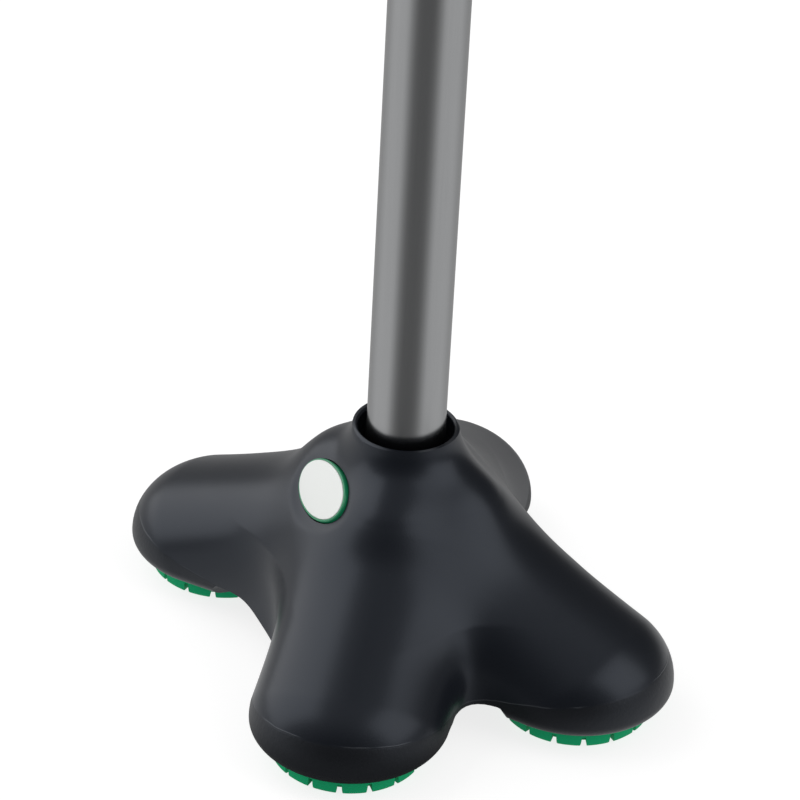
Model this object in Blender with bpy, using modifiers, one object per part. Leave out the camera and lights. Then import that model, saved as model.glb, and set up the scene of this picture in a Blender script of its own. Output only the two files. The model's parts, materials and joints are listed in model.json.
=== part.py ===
"""Offset quad cane: an adjustable aluminium cane on a soft four-footed rubber boot.

Metres, +Z up. The origin is on the floor, on the shaft's axis. +X is the walking direction:
the bow leans out that way and the grip comes back over the shaft towards -X. The badge is on
the -Y side. The pieces below the collar and the shaft stand still, and the upper tube with
its grip slides on the lower tube.
"""

import math

import bmesh
import bpy
import numpy as np
from mathutils import Matrix, Vector

# Clearances
TOUCH_GAP = 0.0003  # between two pieces that touch
CUT_MARGIN = 0.002  # how far a cutter runs past the face that it opens

# Boot: the outer form of the rubber foot
FOOT_REACH_X = 0.0425  # shaft axis to a foot's centre, along the walk
FOOT_REACH_Y = 0.0294  # shaft axis to a foot's centre, across it
FOOT_RADIUS = 0.0234
FOOT_CORE_HEIGHT = 0.0088  # height of the rounded foot's centre
FOOT_SQUASH_RATIO = 0.73  # height of the rounded foot over its width
ARM_RADIUS = 0.0196  # of the arm where it leaves the neck
ARM_HEIGHT = 0.0281  # of the arm's centre where it leaves the neck
ARM_START_SHARE = 0.23  # share of the way to the foot where the arm starts
SHOULDER_RADIUS = 0.0100  # of the soft ridge over each arm, at its crest
SHOULDER_ROOT_RADIUS = 0.0069  # of that ridge where it starts, in the arm's root
SHOULDER_DROP = 0.0202  # of its crest below the top of the boot
SHOULDER_SHARE = 0.32  # share of the way to the foot where its crest lies
GIRTH_HEIGHT = 0.0088  # level where the boot is widest
LIP_HEIGHT = 0.0049  # underside of the boot at its feet
LIP_INSET = 0.0045  # how far the wall draws in from the girth to the lip
LIP_POWER = 1.85  # power of that curve, two for a quarter of an ellipse and one for a cone
NECK_HEIGHT = 0.0594  # top of the boot
NECK_TOP_RADIUS = 0.0124
NECK_SKIRT_ALONG = 0.0424  # half the length of the neck's oval flare at the girth
NECK_SKIRT_ACROSS = 0.0353  # half its width there
NECK_FLARE_POWER = 1.59  # power of the flare, above one for a hollow one
LOW_BLEND_RADIUS = 0.0018  # softness of the fillets between neck and feet, at the girth
MIDDLE_BLEND_RADIUS = 0.0052  # halfway up to the next level
HIGH_BLEND_RADIUS = 0.0043  # from that level up
HIGH_BLEND_DROP = 0.0134  # below the top of the boot
ARCH_HEIGHT = 0.0074  # ceiling of the hollow between the feet
ARCH_RADIUS = 0.0237  # round each foot, where the hollow's slope reaches that ceiling
SOLE_RADIUS = 0.0192  # round each foot, where the slope would start, under the sole
BOOT_COLUMNS = 16  # faces round a quarter of the boot
BOOT_ROWS = 14  # faces from the girth up to the neck
SOLE_ROWS = 4  # faces from the girth down to the lip
ARCH_ROWS = 5  # faces from the sole up to the hollow's ceiling
HALVINGS = 30  # steps of each search along a ray

# Boot: its hollows
MOUTH_RADIUS = 0.01155  # of the recess round the shaft
SPIGOT_RADIUS = 0.0090  # of the stem that holds a tread in the boot

# Treads, each a green pad of lugs under a grey plate with a stem
TREAD_RADIUS = 0.0182
TREAD_THICKNESS = 0.0034
TREAD_CHAMFER = 0.0006
LUG_COUNT = 16  # round the edge of a pad
NOTCH_WIDTH = 0.0011
NOTCH_LENGTH = 0.0030  # from the edge inwards
GROOVE_DEPTH = 0.0028
RING_RADIUS = 0.0112  # outer radius of the round groove inside the lugs
RING_WIDTH = 0.0014
PLATE_RADIUS = 0.0186

# Core inside the boot
HUB_RADIUS = 0.0130
MOUTH_DEPTH = 0.0094  # from the top of the boot down to the core's top
ARM_BOTTOM = 0.0100
ARM_THICKNESS = 0.0050
ARM_WIDTH = 0.0090
PAD_RADIUS = 0.0100
HUB_FLOOR = 0.0034  # thickness of the web under the shaft
SCREW_POCKET_RADIUS = 0.0098

# Fixing screw, washer and plug
SCREW_RADIUS = 0.0030
SCREW_LENGTH = 0.0290  # from under the head to the tip
SCREW_HEAD_RADIUS = 0.0052
SCREW_HEAD_HEIGHT = 0.0036
SCREW_SOCKET_RADIUS = 0.0029
SCREW_SOCKET_DEPTH = 0.0020
WASHER_RADIUS = 0.0080
WASHER_THICKNESS = 0.0015
PLUG_LENGTH = 0.0250

# Badge on the neck: an oval puck that lies level, with an oval face
BADGE_HALF_LENGTH = 0.0112
BADGE_HALF_WIDTH = 0.0066
BADGE_DROP = 0.0149  # of its centre below the top of the boot
BADGE_TILT = math.radians(37.4)  # of its axis above the level
BADGE_PROUD = 0.0009  # of its rim at the middle of the neck
BADGE_THICKNESS = 0.0030
BADGE_EDGE = 0.0004  # rounding of the rim
BADGE_STEPS = 40  # faces round the oval
FACE_INSET = 0.0006  # from the puck's outline to the face's
FACE_THICKNESS = 0.0005
FACE_PROUD = 0.0002

# Shaft
LOWER_RADIUS = 0.009525
LOWER_WALL = 0.0012
BUTTON_TO_TOP = 0.0250  # from the button up to the lower tube's top end
UPPER_RADIUS = 0.0111
SLIDE_GAP = 0.0003  # between the two tubes

# Height holes and snap button
BUTTON_RADIUS = 0.0032
BUTTON_HEIGHT = 0.5350
BUTTON_REACH = 0.0132  # of its tip from the shaft's axis
BUTTON_DOME = 0.0016
BUTTON_DOME_STEPS = 4
BUTTON_HEAD_RADIUS = 0.0040
BUTTON_HEAD_THICKNESS = 0.0010
HOLE_COUNT = 13
HOLE_PITCH = 0.01905
REST_HOLE = 6  # counted from the lowest, the one that the button is in
HOLE_TO_END = 0.0320  # lowest hole to the upper tube's end
HOLE_TO_BEND = 0.0595  # highest hole to the start of the bow

# V spring behind the button
SPRING_THICKNESS = 0.0006
SPRING_WIDTH = 0.0080
SPRING_DROP = 0.0430  # button to the bottom of the V
SPRING_RISE = 0.0100  # button to the ends of the V
SPRING_TURN_RADIUS = 0.0016  # of the bottom of the V
SPRING_TURN_STEPS = 6

# Glide cap on the lower tube
GLIDE_FLANGE = 0.0025
GLIDE_STEM = 0.0100
GLIDE_BORE_RADIUS = 0.0040

# Collar: split sleeve, wiper ring and lock ring
SLEEVE_RADIUS = 0.0134
SLEEVE_FLANGE_RADIUS = 0.0152
SLEEVE_FLANGE = 0.0040
SLEEVE_BELOW = 0.0127  # from the upper tube's end down to the sleeve's
SLEEVE_ABOVE = 0.0130  # from the upper tube's end up to the flange
SLEEVE_SLOTS = 4
SLEEVE_SLOT_WIDTH = 0.0016
SLEEVE_SLOT_DEPTH = 0.0090
WIPER_RADIUS = 0.0124
WIPER_THICKNESS = 0.0057
WIPER_GAP = 0.0006  # round the lower tube
LOCK_RADIUS = 0.0170
LOCK_LIP = 0.0034
LOCK_CHAMFER = 0.0010
FLUTE_COUNT = 18
FLUTE_RADIUS = 0.0016
FLUTE_DEPTH = 0.0008

# Bow and grip
BOW_LEAN = math.radians(55.0)
BOW_LOWER_RADIUS = 0.0400
BOW_STRAIGHT = 0.0370
BOW_UPPER_RADIUS = 0.0320
BOW_STEP = math.radians(8.0)  # turn between two points of the bow
GRIP_TUBE_LENGTH = 0.0940  # level stretch of the tube, from the end of the bow
GRIP_FRONT = 0.0040  # end of the bow to the front of the grip
GRIP_CORE_WALL = 0.0018
GRIP_COLLAR = 0.0040
GRIP_COLLAR_RADIUS = 0.0150
GRIP_RADIUS = 0.0172
GRIP_WAIST_RADIUS = 0.0160
GRIP_EDGE = 0.0008
GRIP_SWELL_STEPS = 8
CAP_RADIUS = 0.0166
CAP_THICKNESS = 0.0065
CAP_EDGE = 0.0020
CAP_EDGE_STEPS = 3
CAP_SCREW_RADIUS = 0.0020
CAP_SCREW_HEAD_RADIUS = 0.0039
CAP_SCREW_HEAD_HEIGHT = 0.0022
CAP_SCREW_LENGTH = 0.0180
GRIP_PLUG_LENGTH = 0.0200

# Faces round a turned piece, and the least turn between two faces that shows as a corner
FINE_STEPS = 32
TUBE_STEPS = 24
CORNER = math.radians(35.0)

# Heights and radii that follow from the sizes above
LOWER_BORE = LOWER_RADIUS - LOWER_WALL
UPPER_BORE = LOWER_RADIUS + SLIDE_GAP
HUB_TOP = NECK_HEIGHT - MOUTH_DEPTH
BADGE_HEIGHT = NECK_HEIGHT - BADGE_DROP
SHOULDER_HEIGHT = NECK_HEIGHT - SHOULDER_DROP
HIGH_BLEND_HEIGHT = NECK_HEIGHT - HIGH_BLEND_DROP
LOWER_TOP = BUTTON_HEIGHT + BUTTON_TO_TOP
HUB_WEB_BOTTOM = ARM_BOTTOM + ARM_THICKNESS
HUB_WEB_TOP = HUB_WEB_BOTTOM + HUB_FLOOR
LOWER_BOTTOM = HUB_WEB_TOP + TOUCH_GAP
PLATE_BOTTOM = TREAD_THICKNESS + TOUCH_GAP
PLATE_TOP = LIP_HEIGHT - TOUCH_GAP
LOWEST_HOLE = BUTTON_HEIGHT - REST_HOLE * HOLE_PITCH
UPPER_BOTTOM = LOWEST_HOLE - HOLE_TO_END
BEND_START = LOWEST_HOLE + (HOLE_COUNT - 1) * HOLE_PITCH + HOLE_TO_BEND
SLEEVE_BOTTOM = UPPER_BOTTOM - SLEEVE_BELOW
SLEEVE_TOP = UPPER_BOTTOM + SLEEVE_ABOVE

# The four feet: which way each lies, and how its round tread happens to be turned in the boot
FEET = {
    "front_right": (1, -1, math.radians(17.7)),
    "front_left": (1, 1, math.radians(5.2)),
    "rear_right": (-1, -1, math.radians(15.9)),
    "rear_left": (-1, 1, math.radians(3.0)),
}

RUBBER = ("soft_touch_rubber", (0.030, 0.033, 0.038), 0.62, 0.0)
NYLON = ("black_nylon", (0.020, 0.020, 0.022), 0.50, 0.0)
GREEN_RUBBER = ("green_rubber", (0.006, 0.230, 0.100), 0.60, 0.0)
GREY_PLASTIC = ("grey_plastic", (0.050, 0.048, 0.048), 0.50, 0.0)
GREEN_PLASTIC = ("green_plastic", (0.006, 0.230, 0.100), 0.35, 0.0)
WHITE_PLASTIC = ("white_plastic", (0.760, 0.780, 0.760), 0.35, 0.0)
ALUMINIUM = ("satin_aluminium", (0.230, 0.235, 0.240), 0.38, 0.9)
ZINC = ("zinc_steel", (0.550, 0.560, 0.580), 0.35, 1.0)
SPRING_STEEL = ("spring_steel", (0.300, 0.300, 0.310), 0.35, 1.0)
GRIP_RUBBER = ("grip_rubber", (0.024, 0.026, 0.029), 0.62, 0.0)


def clear_scene():
    """Remove every object, mesh, curve, material and node tree that the file came with."""
    for found in list(bpy.data.objects):
        bpy.data.objects.remove(found, do_unlink=True)
    data = bpy.data
    for group in (data.meshes, data.curves, data.materials, data.node_groups):
        for block in list(group):
            group.remove(block)


def new_collection(name):
    """Return a collection of this name under the scene's own."""
    collection = bpy.data.collections.new(name)
    bpy.context.scene.collection.children.link(collection)
    return collection


def material(finish):
    """Return the Principled material of a finish: name, colour, roughness, metallic."""
    name, colour, roughness, metallic = finish
    if name in bpy.data.materials:
        return bpy.data.materials[name]
    made = bpy.data.materials.new(name)
    made.use_nodes = True
    shader = made.node_tree.nodes["Principled BSDF"]
    shader.inputs["Base Color"].default_value = (*colour, 1.0)
    shader.inputs["Roughness"].default_value = roughness
    shader.inputs["Metallic"].default_value = metallic
    made.diffuse_color = (*colour, 1.0)
    return made


def mesh_object(name, shape, finish=None):
    """Make an object of a bmesh: a piece if it has a finish, and a cutter if it has none."""
    mesh = bpy.data.meshes.new(name)
    shape.to_mesh(mesh)
    shape.free()
    made = bpy.data.objects.new(name, mesh)
    if finish:
        mesh.materials.append(material(finish))
        PARTS.objects.link(made)
    else:
        CUTTERS.objects.link(made)
        made.hide_render = True
        made.display_type = "WIRE"
    return made


def turned(name, profile, finish=None, steps=FINE_STEPS, place=Matrix.Identity(4)):
    """Turn a profile about Z.

    The profile is a list of (radius, height), down the outer side. It is a ring where no
    radius is zero, and a solid where its first and last points lie on the axis.
    """
    shape = bmesh.new()
    points = [shape.verts.new((radius, 0.0, height)) for radius, height in profile]
    for first, second in zip(points, points[1:]):
        shape.edges.new((first, second))
    if profile[0][0] > 0.0:
        shape.edges.new((points[-1], points[0]))
    made = mesh_object(name, shape, finish)
    made.matrix_world = place
    screw = made.modifiers.new("Turn", "SCREW")
    screw.steps = steps
    screw.render_steps = steps
    screw.use_merge_vertices = True
    screw.merge_threshold = 0.00001
    screw.use_smooth_shade = False
    return made


def tube_profile(outer, inner, bottom, top):
    """Profile of a straight tube."""
    return [(outer, top), (outer, bottom), (inner, bottom), (inner, top)]


def rod_profile(radius, bottom, top):
    """Profile of a plain solid cylinder."""
    return [(0.0, top), (radius, top), (radius, bottom), (0.0, bottom)]


def prism(outline, bottom, top):
    """Return a bmesh of a flat outline, a list of (x, y) counter-clockwise, pulled up."""
    shape = bmesh.new()
    face = shape.faces.new([shape.verts.new((x, y, bottom)) for x, y in outline])
    pulled = bmesh.ops.extrude_face_region(shape, geom=[face])
    raised = [part for part in pulled["geom"] if isinstance(part, bmesh.types.BMVert)]
    bmesh.ops.translate(shape, vec=(0.0, 0.0, top - bottom), verts=raised)
    bmesh.ops.recalc_face_normals(shape, faces=shape.faces)
    return shape


def combine(target, other, operation):
    """Add a Boolean of a cutter to a piece."""
    boolean = target.modifiers.new(other.name, "BOOLEAN")
    boolean.operation = operation
    boolean.solver = "EXACT"
    boolean.object = other


def cut(target, cutter):
    """Cut a cutter out of a piece."""
    combine(target, cutter, "DIFFERENCE")


def axis_place(point, direction):
    """Return the matrix that takes local +Z to a direction, at a point."""
    turn = Vector(direction).to_track_quat("Z", "Y").to_matrix().to_4x4()
    return Matrix.Translation(Vector(point)) @ turn


def foot_centre(side_x, side_y):
    """Plan position of a foot's centre."""
    return side_x * FOOT_REACH_X, side_y * FOOT_REACH_Y


def bar_distance(points, start, end, squash=1.0):
    """Signed distance, roughly, from points to a tapered round bar.

    Each end of the bar is (x, y, height, radius), and squash is its height over its width.
    """
    stretch = np.array([1.0, 1.0, 1.0 / squash])
    along = (np.array(end[:3]) - start[:3]) * stretch
    offset = (points - start[:3]) * stretch
    share = np.clip(offset @ along / (along @ along), 0.0, 1.0)
    nearest = np.linalg.norm(offset - share[..., None] * along, axis=-1)
    return nearest - (start[3] + (end[3] - start[3]) * share)


def neck_distance(points):
    """Signed distance, roughly, from points to the neck, which flares into an oval."""
    tall = NECK_HEIGHT - GIRTH_HEIGHT
    depth = np.maximum((NECK_HEIGHT - points[..., 2]) / tall, 0.001)
    along = NECK_SKIRT_ALONG - NECK_TOP_RADIUS
    across = NECK_SKIRT_ACROSS - NECK_TOP_RADIUS
    long = NECK_TOP_RADIUS + along * depth**NECK_FLARE_POWER
    wide = NECK_TOP_RADIUS + across * depth**NECK_FLARE_POWER
    reach = np.maximum(np.hypot(points[..., 0], points[..., 1]), TOUCH_GAP)
    radius = reach / np.hypot(points[..., 0] / long, points[..., 1] / wide)
    lengthwise = (points[..., 0] / reach) ** 2
    flare = along * lengthwise + across * (1.0 - lengthwise)
    slope = flare * NECK_FLARE_POWER * depth ** (NECK_FLARE_POWER - 1.0) / tall
    return (reach - radius) / np.sqrt(1.0 + slope**2)


def blend_radius(heights):
    """Softness of the fillets at these heights."""
    levels = (GIRTH_HEIGHT, 0.5 * (GIRTH_HEIGHT + HIGH_BLEND_HEIGHT), HIGH_BLEND_HEIGHT)
    return np.interp(heights, levels, (LOW_BLEND_RADIUS, MIDDLE_BLEND_RADIUS, HIGH_BLEND_RADIUS))


def boot_distance(points):
    """Signed distance to the neck, the arms and their shoulders, melted together softly."""
    parts = [neck_distance(points)]
    for side_x, side_y, _ in FEET.values():
        x, y = foot_centre(side_x, side_y)
        foot = (x, y, FOOT_CORE_HEIGHT, FOOT_RADIUS)
        root = (x * ARM_START_SHARE, y * ARM_START_SHARE, ARM_HEIGHT)
        crest = (x * SHOULDER_SHARE, y * SHOULDER_SHARE, SHOULDER_HEIGHT, SHOULDER_RADIUS)
        parts.append(bar_distance(points, (*root, ARM_RADIUS), foot, FOOT_SQUASH_RATIO))
        parts.append(bar_distance(points, crest, (*root, SHOULDER_ROOT_RADIUS)))
    parts = np.stack(parts)
    nearest = parts.min(axis=0)
    softness = blend_radius(points[..., 2])
    spread = np.exp((nearest - parts) / softness).sum(axis=0)
    return nearest - softness * np.log(spread)


def boot_points(azimuths, elevation):
    """Points of the boot's skin, along rays from its middle at the parting level."""
    level = math.cos(elevation)
    climb = np.full_like(azimuths, math.sin(elevation))
    rays = np.stack([np.cos(azimuths) * level, np.sin(azimuths) * level, climb], axis=-1)
    middle = np.array([0.0, 0.0, GIRTH_HEIGHT])
    inner = np.full_like(azimuths, 0.5 * NECK_TOP_RADIUS)
    outer = np.full_like(azimuths, 2.0 * (FOOT_REACH_X + FOOT_REACH_Y))
    for _ in range(HALVINGS):
        half = 0.5 * (inner + outer)
        inside = boot_distance(middle + rays * half[:, None]) < 0.0
        inner = np.where(inside, half, inner)
        outer = np.where(inside, outer, half)
    return middle + rays * (0.5 * (inner + outer))[:, None]


def outline_azimuths():
    """Azimuths of columns that are evenly spaced along the boot's widest outline."""
    fine = np.linspace(0.0, math.pi / 2.0, 181)
    outline = boot_points(fine, 0.0)
    lengths = np.linalg.norm(np.diff(outline, axis=0), axis=1)
    run = np.concatenate([[0.0], np.cumsum(lengths)])
    quarter = np.interp(np.linspace(0.0, run[-1], BOOT_COLUMNS + 1), run, fine)[:-1]
    mirrored = math.pi - np.concatenate([[math.pi / 2.0], quarter[:0:-1]])
    half = np.concatenate([quarter, mirrored])
    return np.concatenate([half, half + math.pi])


def boot_rows():
    """Loops of the boot's skin from its lip up to the rim of its neck."""
    azimuths = outline_azimuths()
    outline = boot_points(azimuths, 0.0)
    along = np.roll(outline, -1, axis=0) - np.roll(outline, 1, axis=0)
    outward = np.stack([along[:, 1], -along[:, 0], np.zeros(len(along))], axis=-1)
    outward /= np.linalg.norm(outward, axis=1)[:, None]
    rows = []
    for step in range(SOLE_ROWS, 0, -1):
        turn = 0.5 * math.pi * step / SOLE_ROWS
        inset = LIP_INSET * (1.0 - math.cos(turn) ** (2.0 / LIP_POWER))
        drop = (GIRTH_HEIGHT - LIP_HEIGHT) * math.sin(turn) ** (2.0 / LIP_POWER)
        rows.append(outline - outward * inset - [0.0, 0.0, drop])
    rim_elevation = math.atan2(NECK_HEIGHT - GIRTH_HEIGHT, NECK_TOP_RADIUS)
    for step in range(BOOT_ROWS):
        rows.append(boot_points(azimuths, rim_elevation * (step / BOOT_ROWS) ** 1.5))
    rim = [np.cos(azimuths), np.sin(azimuths), np.zeros_like(azimuths)]
    rows.append(np.stack(rim, axis=-1) * NECK_TOP_RADIUS + [0.0, 0.0, NECK_HEIGHT])
    return rows


def loft(rows):
    """Return a bmesh skinned through closed loops of points, bottom to top, with flat ends."""
    shape = bmesh.new()
    loops = [[shape.verts.new(point) for point in row] for row in rows]
    for lower, upper in zip(loops, loops[1:]):
        for index in range(len(lower)):
            after = (index + 1) % len(lower)
            shape.faces.new((lower[index], lower[after], upper[after], upper[index]))
    shape.faces.new(loops[0][::-1])
    shape.faces.new(loops[-1])
    return shape


def sole_outline(radius):
    """Outline of the hollow between the feet: all that lies inside a circle round each foot."""
    steps = TUBE_STEPS // 2
    beyond = 2.0 * (FOOT_REACH_X + FOOT_REACH_Y)
    outline = []
    for side_x, side_y, turn in ((1, 1, 1), (-1, 1, -1), (-1, -1, 1), (1, -1, -1)):
        centre_x, centre_y = foot_centre(side_x, side_y)
        along = [(side_x * beyond, centre_y - side_y * radius)]
        for step in range(steps + 1):
            angle = 0.5 * math.pi * step / steps
            x = centre_x - side_x * radius * math.sin(angle)
            along.append((x, centre_y - side_y * radius * math.cos(angle)))
        along.append((centre_x - side_x * radius, side_y * beyond))
        outline += along[::turn]
    return outline


def sole_hollow():
    """Cutter of the hollow between the feet, whose sides rise to its ceiling in a soft S."""
    bottom = LIP_HEIGHT - CUT_MARGIN
    run = ARCH_RADIUS - SOLE_RADIUS
    loops = []
    for step in range(ARCH_ROWS + 1):
        share = step / ARCH_ROWS
        height = bottom + (ARCH_HEIGHT - bottom) * share * share * (3.0 - 2.0 * share)
        loops.append([(x, y, height) for x, y in sole_outline(SOLE_RADIUS + run * share)])
    return mesh_object("sole_hollow", loft(loops))


def arm_outline(side_x, side_y, grow):
    """Outline of one arm of the core, a bar that ends in a round pad, grown by a clearance."""
    centre = Vector(foot_centre(side_x, side_y))
    ahead = centre.normalized()
    aside = Vector((-ahead.y, ahead.x))
    radius = PAD_RADIUS + grow
    half_width = ARM_WIDTH / 2.0 + grow
    start = ahead * (0.5 * (HUB_RADIUS + SCREW_POCKET_RADIUS))
    opening = math.asin(half_width / radius)
    sweep = 2.0 * (math.pi - opening)
    outline = [start - aside * half_width]
    for step in range(TUBE_STEPS + 1):
        turn = opening - math.pi + sweep * step / TUBE_STEPS
        outline.append(centre + radius * (ahead * math.cos(turn) + aside * math.sin(turn)))
    outline.append(start + aside * half_width)
    return [tuple(point) for point in outline]


def core_arm(name, side_x, side_y, grow):
    """One arm of the core, as a cutter or a shape to join on."""
    outline = arm_outline(side_x, side_y, grow)
    return mesh_object(name, prism(outline, ARM_BOTTOM - grow, ARM_BOTTOM + ARM_THICKNESS + grow))


def make_core():
    """Rigid socket for the shaft, with an arm and a round pad over each foot."""
    hole = SCREW_RADIUS + TOUCH_GAP
    bore = LOWER_RADIUS + TOUCH_GAP
    profile = [
        (HUB_RADIUS, HUB_TOP),
        (HUB_RADIUS, ARM_BOTTOM),
        (SCREW_POCKET_RADIUS, ARM_BOTTOM),
        (SCREW_POCKET_RADIUS, HUB_WEB_BOTTOM),
        (hole, HUB_WEB_BOTTOM),
        (hole, HUB_WEB_TOP),
        (bore, HUB_WEB_TOP),
        (bore, HUB_TOP),
    ]
    core = turned("foot_core", profile, NYLON)
    for foot, (side_x, side_y, _) in FEET.items():
        combine(core, core_arm(f"core_arm_{foot}", side_x, side_y, 0.0), "UNION")
    return core


def badge_frame():
    """Return the matrix of the badge: its origin on the neck and its +Z out of the face."""
    azimuths = np.array([-math.pi / 2.0])
    low, high = 0.0, math.pi / 2.0
    for _ in range(HALVINGS):
        elevation = 0.5 * (low + high)
        point = boot_points(azimuths, elevation)[0]
        if point[2] < BADGE_HEIGHT:
            low = elevation
        else:
            high = elevation
    outward = (0.0, -math.cos(BADGE_TILT), math.sin(BADGE_TILT))
    return axis_place(point, outward)


def make_boot():
    """Soft rubber foot, hollow for the core, the shaft, the treads and the badge."""
    boot = mesh_object("foot_boot", loft(boot_rows()), RUBBER)
    cut(boot, sole_hollow())
    void = HUB_RADIUS + TOUCH_GAP
    hollow = [
        (0.0, NECK_HEIGHT + CUT_MARGIN),
        (MOUTH_RADIUS, NECK_HEIGHT + CUT_MARGIN),
        (MOUTH_RADIUS, HUB_TOP + TOUCH_GAP),
        (void, HUB_TOP + TOUCH_GAP),
        (void, ARM_BOTTOM - TOUCH_GAP),
        (SCREW_POCKET_RADIUS, ARM_BOTTOM - TOUCH_GAP),
        (SCREW_POCKET_RADIUS, LIP_HEIGHT - CUT_MARGIN),
        (0.0, LIP_HEIGHT - CUT_MARGIN),
    ]
    cut(boot, turned("boot_hollow", hollow))
    for foot, (side_x, side_y, _) in FEET.items():
        cut(boot, core_arm(f"arm_hollow_{foot}", side_x, side_y, TOUCH_GAP))
        pocket = rod_profile(SPIGOT_RADIUS + TOUCH_GAP, LIP_HEIGHT - CUT_MARGIN, ARM_BOTTOM)
        place = Matrix.Translation((*foot_centre(side_x, side_y), 0.0))
        cut(boot, turned(f"spigot_hollow_{foot}", pocket, steps=TUBE_STEPS, place=place))
    floor = BADGE_PROUD - BADGE_THICKNESS - TOUCH_GAP
    recess = [(TOUCH_GAP, floor), (TOUCH_GAP, BADGE_HALF_WIDTH)]
    cut(boot, oval("badge_hollow", recess, place=badge_frame()))
    return boot


def notch_cutter(name, place):
    """Radial notches that part the edge of a tread into lugs."""
    shape = bmesh.new()
    height = GROOVE_DEPTH + CUT_MARGIN
    length = NOTCH_LENGTH + CUT_MARGIN
    middle = (TREAD_RADIUS - NOTCH_LENGTH + length / 2.0, 0.0, GROOVE_DEPTH - height / 2.0)
    size = Matrix.Diagonal((length, NOTCH_WIDTH, height, 1.0))
    for index in range(LUG_COUNT):
        turn = Matrix.Rotation(2.0 * math.pi * index / LUG_COUNT, 4, "Z")
        bmesh.ops.create_cube(shape, size=1.0, matrix=turn @ Matrix.Translation(middle) @ size)
    made = mesh_object(name, shape)
    made.matrix_world = place
    return made


def make_tread(foot, side_x, side_y, turn):
    """Round green pad under one foot, and the grey plate that holds it in the boot."""
    place = Matrix.Translation((*foot_centre(side_x, side_y), 0.0))
    plate = [
        (0.0, ARM_BOTTOM - TOUCH_GAP),
        (SPIGOT_RADIUS, ARM_BOTTOM - TOUCH_GAP),
        (SPIGOT_RADIUS, PLATE_TOP),
        (PLATE_RADIUS, PLATE_TOP),
        (PLATE_RADIUS, PLATE_BOTTOM),
        (0.0, PLATE_BOTTOM),
    ]
    turned(f"tread_plate_{foot}", plate, GREY_PLASTIC, steps=TUBE_STEPS, place=place)
    pad = [
        (0.0, TREAD_THICKNESS),
        (TREAD_RADIUS, TREAD_THICKNESS),
        (TREAD_RADIUS, TREAD_CHAMFER),
        (TREAD_RADIUS - TREAD_CHAMFER, 0.0),
        (0.0, 0.0),
    ]
    tread = turned(f"tread_{foot}", pad, GREEN_RUBBER, steps=TUBE_STEPS, place=place)
    cut(tread, notch_cutter(f"notches_{foot}", place @ Matrix.Rotation(turn, 4, "Z")))
    ring = tube_profile(RING_RADIUS, RING_RADIUS - RING_WIDTH, -CUT_MARGIN, GROOVE_DEPTH)
    cut(tread, turned(f"ring_{foot}", ring, steps=TUBE_STEPS, place=place))


def oval(name, profile, finish=None, place=Matrix.Identity(4)):
    """Stack the badge's oval outline, grown outwards by each (growth, height), bottom to top."""
    rows = []
    for growth, height in profile:
        row = []
        for step in range(BADGE_STEPS):
            angle = 2.0 * math.pi * step / BADGE_STEPS
            x = (BADGE_HALF_LENGTH + growth) * math.cos(angle)
            row.append(place @ Vector((x, (BADGE_HALF_WIDTH + growth) * math.sin(angle), height)))
        rows.append(row)
    return mesh_object(name, loft(rows), finish)


def make_badge():
    """Green puck standing in the neck's recess, and its bare white face."""
    place = badge_frame()
    seat = BADGE_PROUD + FACE_PROUD - FACE_THICKNESS - TOUCH_GAP
    rim = TOUCH_GAP - FACE_INSET
    puck = [
        (0.0, BADGE_PROUD - BADGE_THICKNESS),
        (0.0, BADGE_PROUD - BADGE_EDGE),
        (-BADGE_EDGE, BADGE_PROUD),
        (rim, BADGE_PROUD),
        (rim, seat),
    ]
    oval("badge_puck", puck, GREEN_PLASTIC, place)
    base = seat + TOUCH_GAP
    face = [(-FACE_INSET, base), (-FACE_INSET, base + FACE_THICKNESS)]
    oval("badge_face", face, WHITE_PLASTIC, place)


def make_fixing():
    """Screw, washer and threaded plug that hold the shaft down in the core."""
    washer_top = HUB_WEB_BOTTOM - TOUCH_GAP
    washer_bottom = washer_top - WASHER_THICKNESS
    hole = SCREW_RADIUS + TOUCH_GAP
    turned("foot_washer", tube_profile(WASHER_RADIUS, hole, washer_bottom, washer_top), ZINC)
    head_top = washer_bottom - TOUCH_GAP
    head_bottom = head_top - SCREW_HEAD_HEIGHT
    screw = [
        (0.0, head_top + SCREW_LENGTH),
        (SCREW_RADIUS, head_top + SCREW_LENGTH),
        (SCREW_RADIUS, head_top),
        (SCREW_HEAD_RADIUS, head_top),
        (SCREW_HEAD_RADIUS, head_bottom),
        (0.0, head_bottom),
    ]
    made = turned("foot_screw", screw, ZINC, steps=TUBE_STEPS)
    floor = head_bottom + SCREW_SOCKET_DEPTH
    socket = rod_profile(SCREW_SOCKET_RADIUS, head_bottom - CUT_MARGIN, floor)
    cut(made, turned("screw_socket", socket, steps=6))
    plug_bottom = LOWER_BOTTOM + TOUCH_GAP
    plug = tube_profile(LOWER_BORE - TOUCH_GAP, hole, plug_bottom, plug_bottom + PLUG_LENGTH)
    turned("shaft_plug", plug, ZINC, steps=TUBE_STEPS)


def hole_cutter(name, heights):
    """Round holes through the -X wall of a tube, one at each height."""
    shape = bmesh.new()
    reach = BUTTON_REACH + CUT_MARGIN
    level = Matrix.Rotation(math.pi / 2.0, 4, "Y")
    for height in heights:
        place = Matrix.Translation((-reach / 2.0, 0.0, height)) @ level
        bmesh.ops.create_cone(
            shape,
            cap_ends=True,
            segments=TUBE_STEPS // 2,
            radius1=BUTTON_RADIUS + TOUCH_GAP,
            radius2=BUTTON_RADIUS + TOUCH_GAP,
            depth=reach,
            matrix=place,
        )
    return mesh_object(name, shape)


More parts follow.
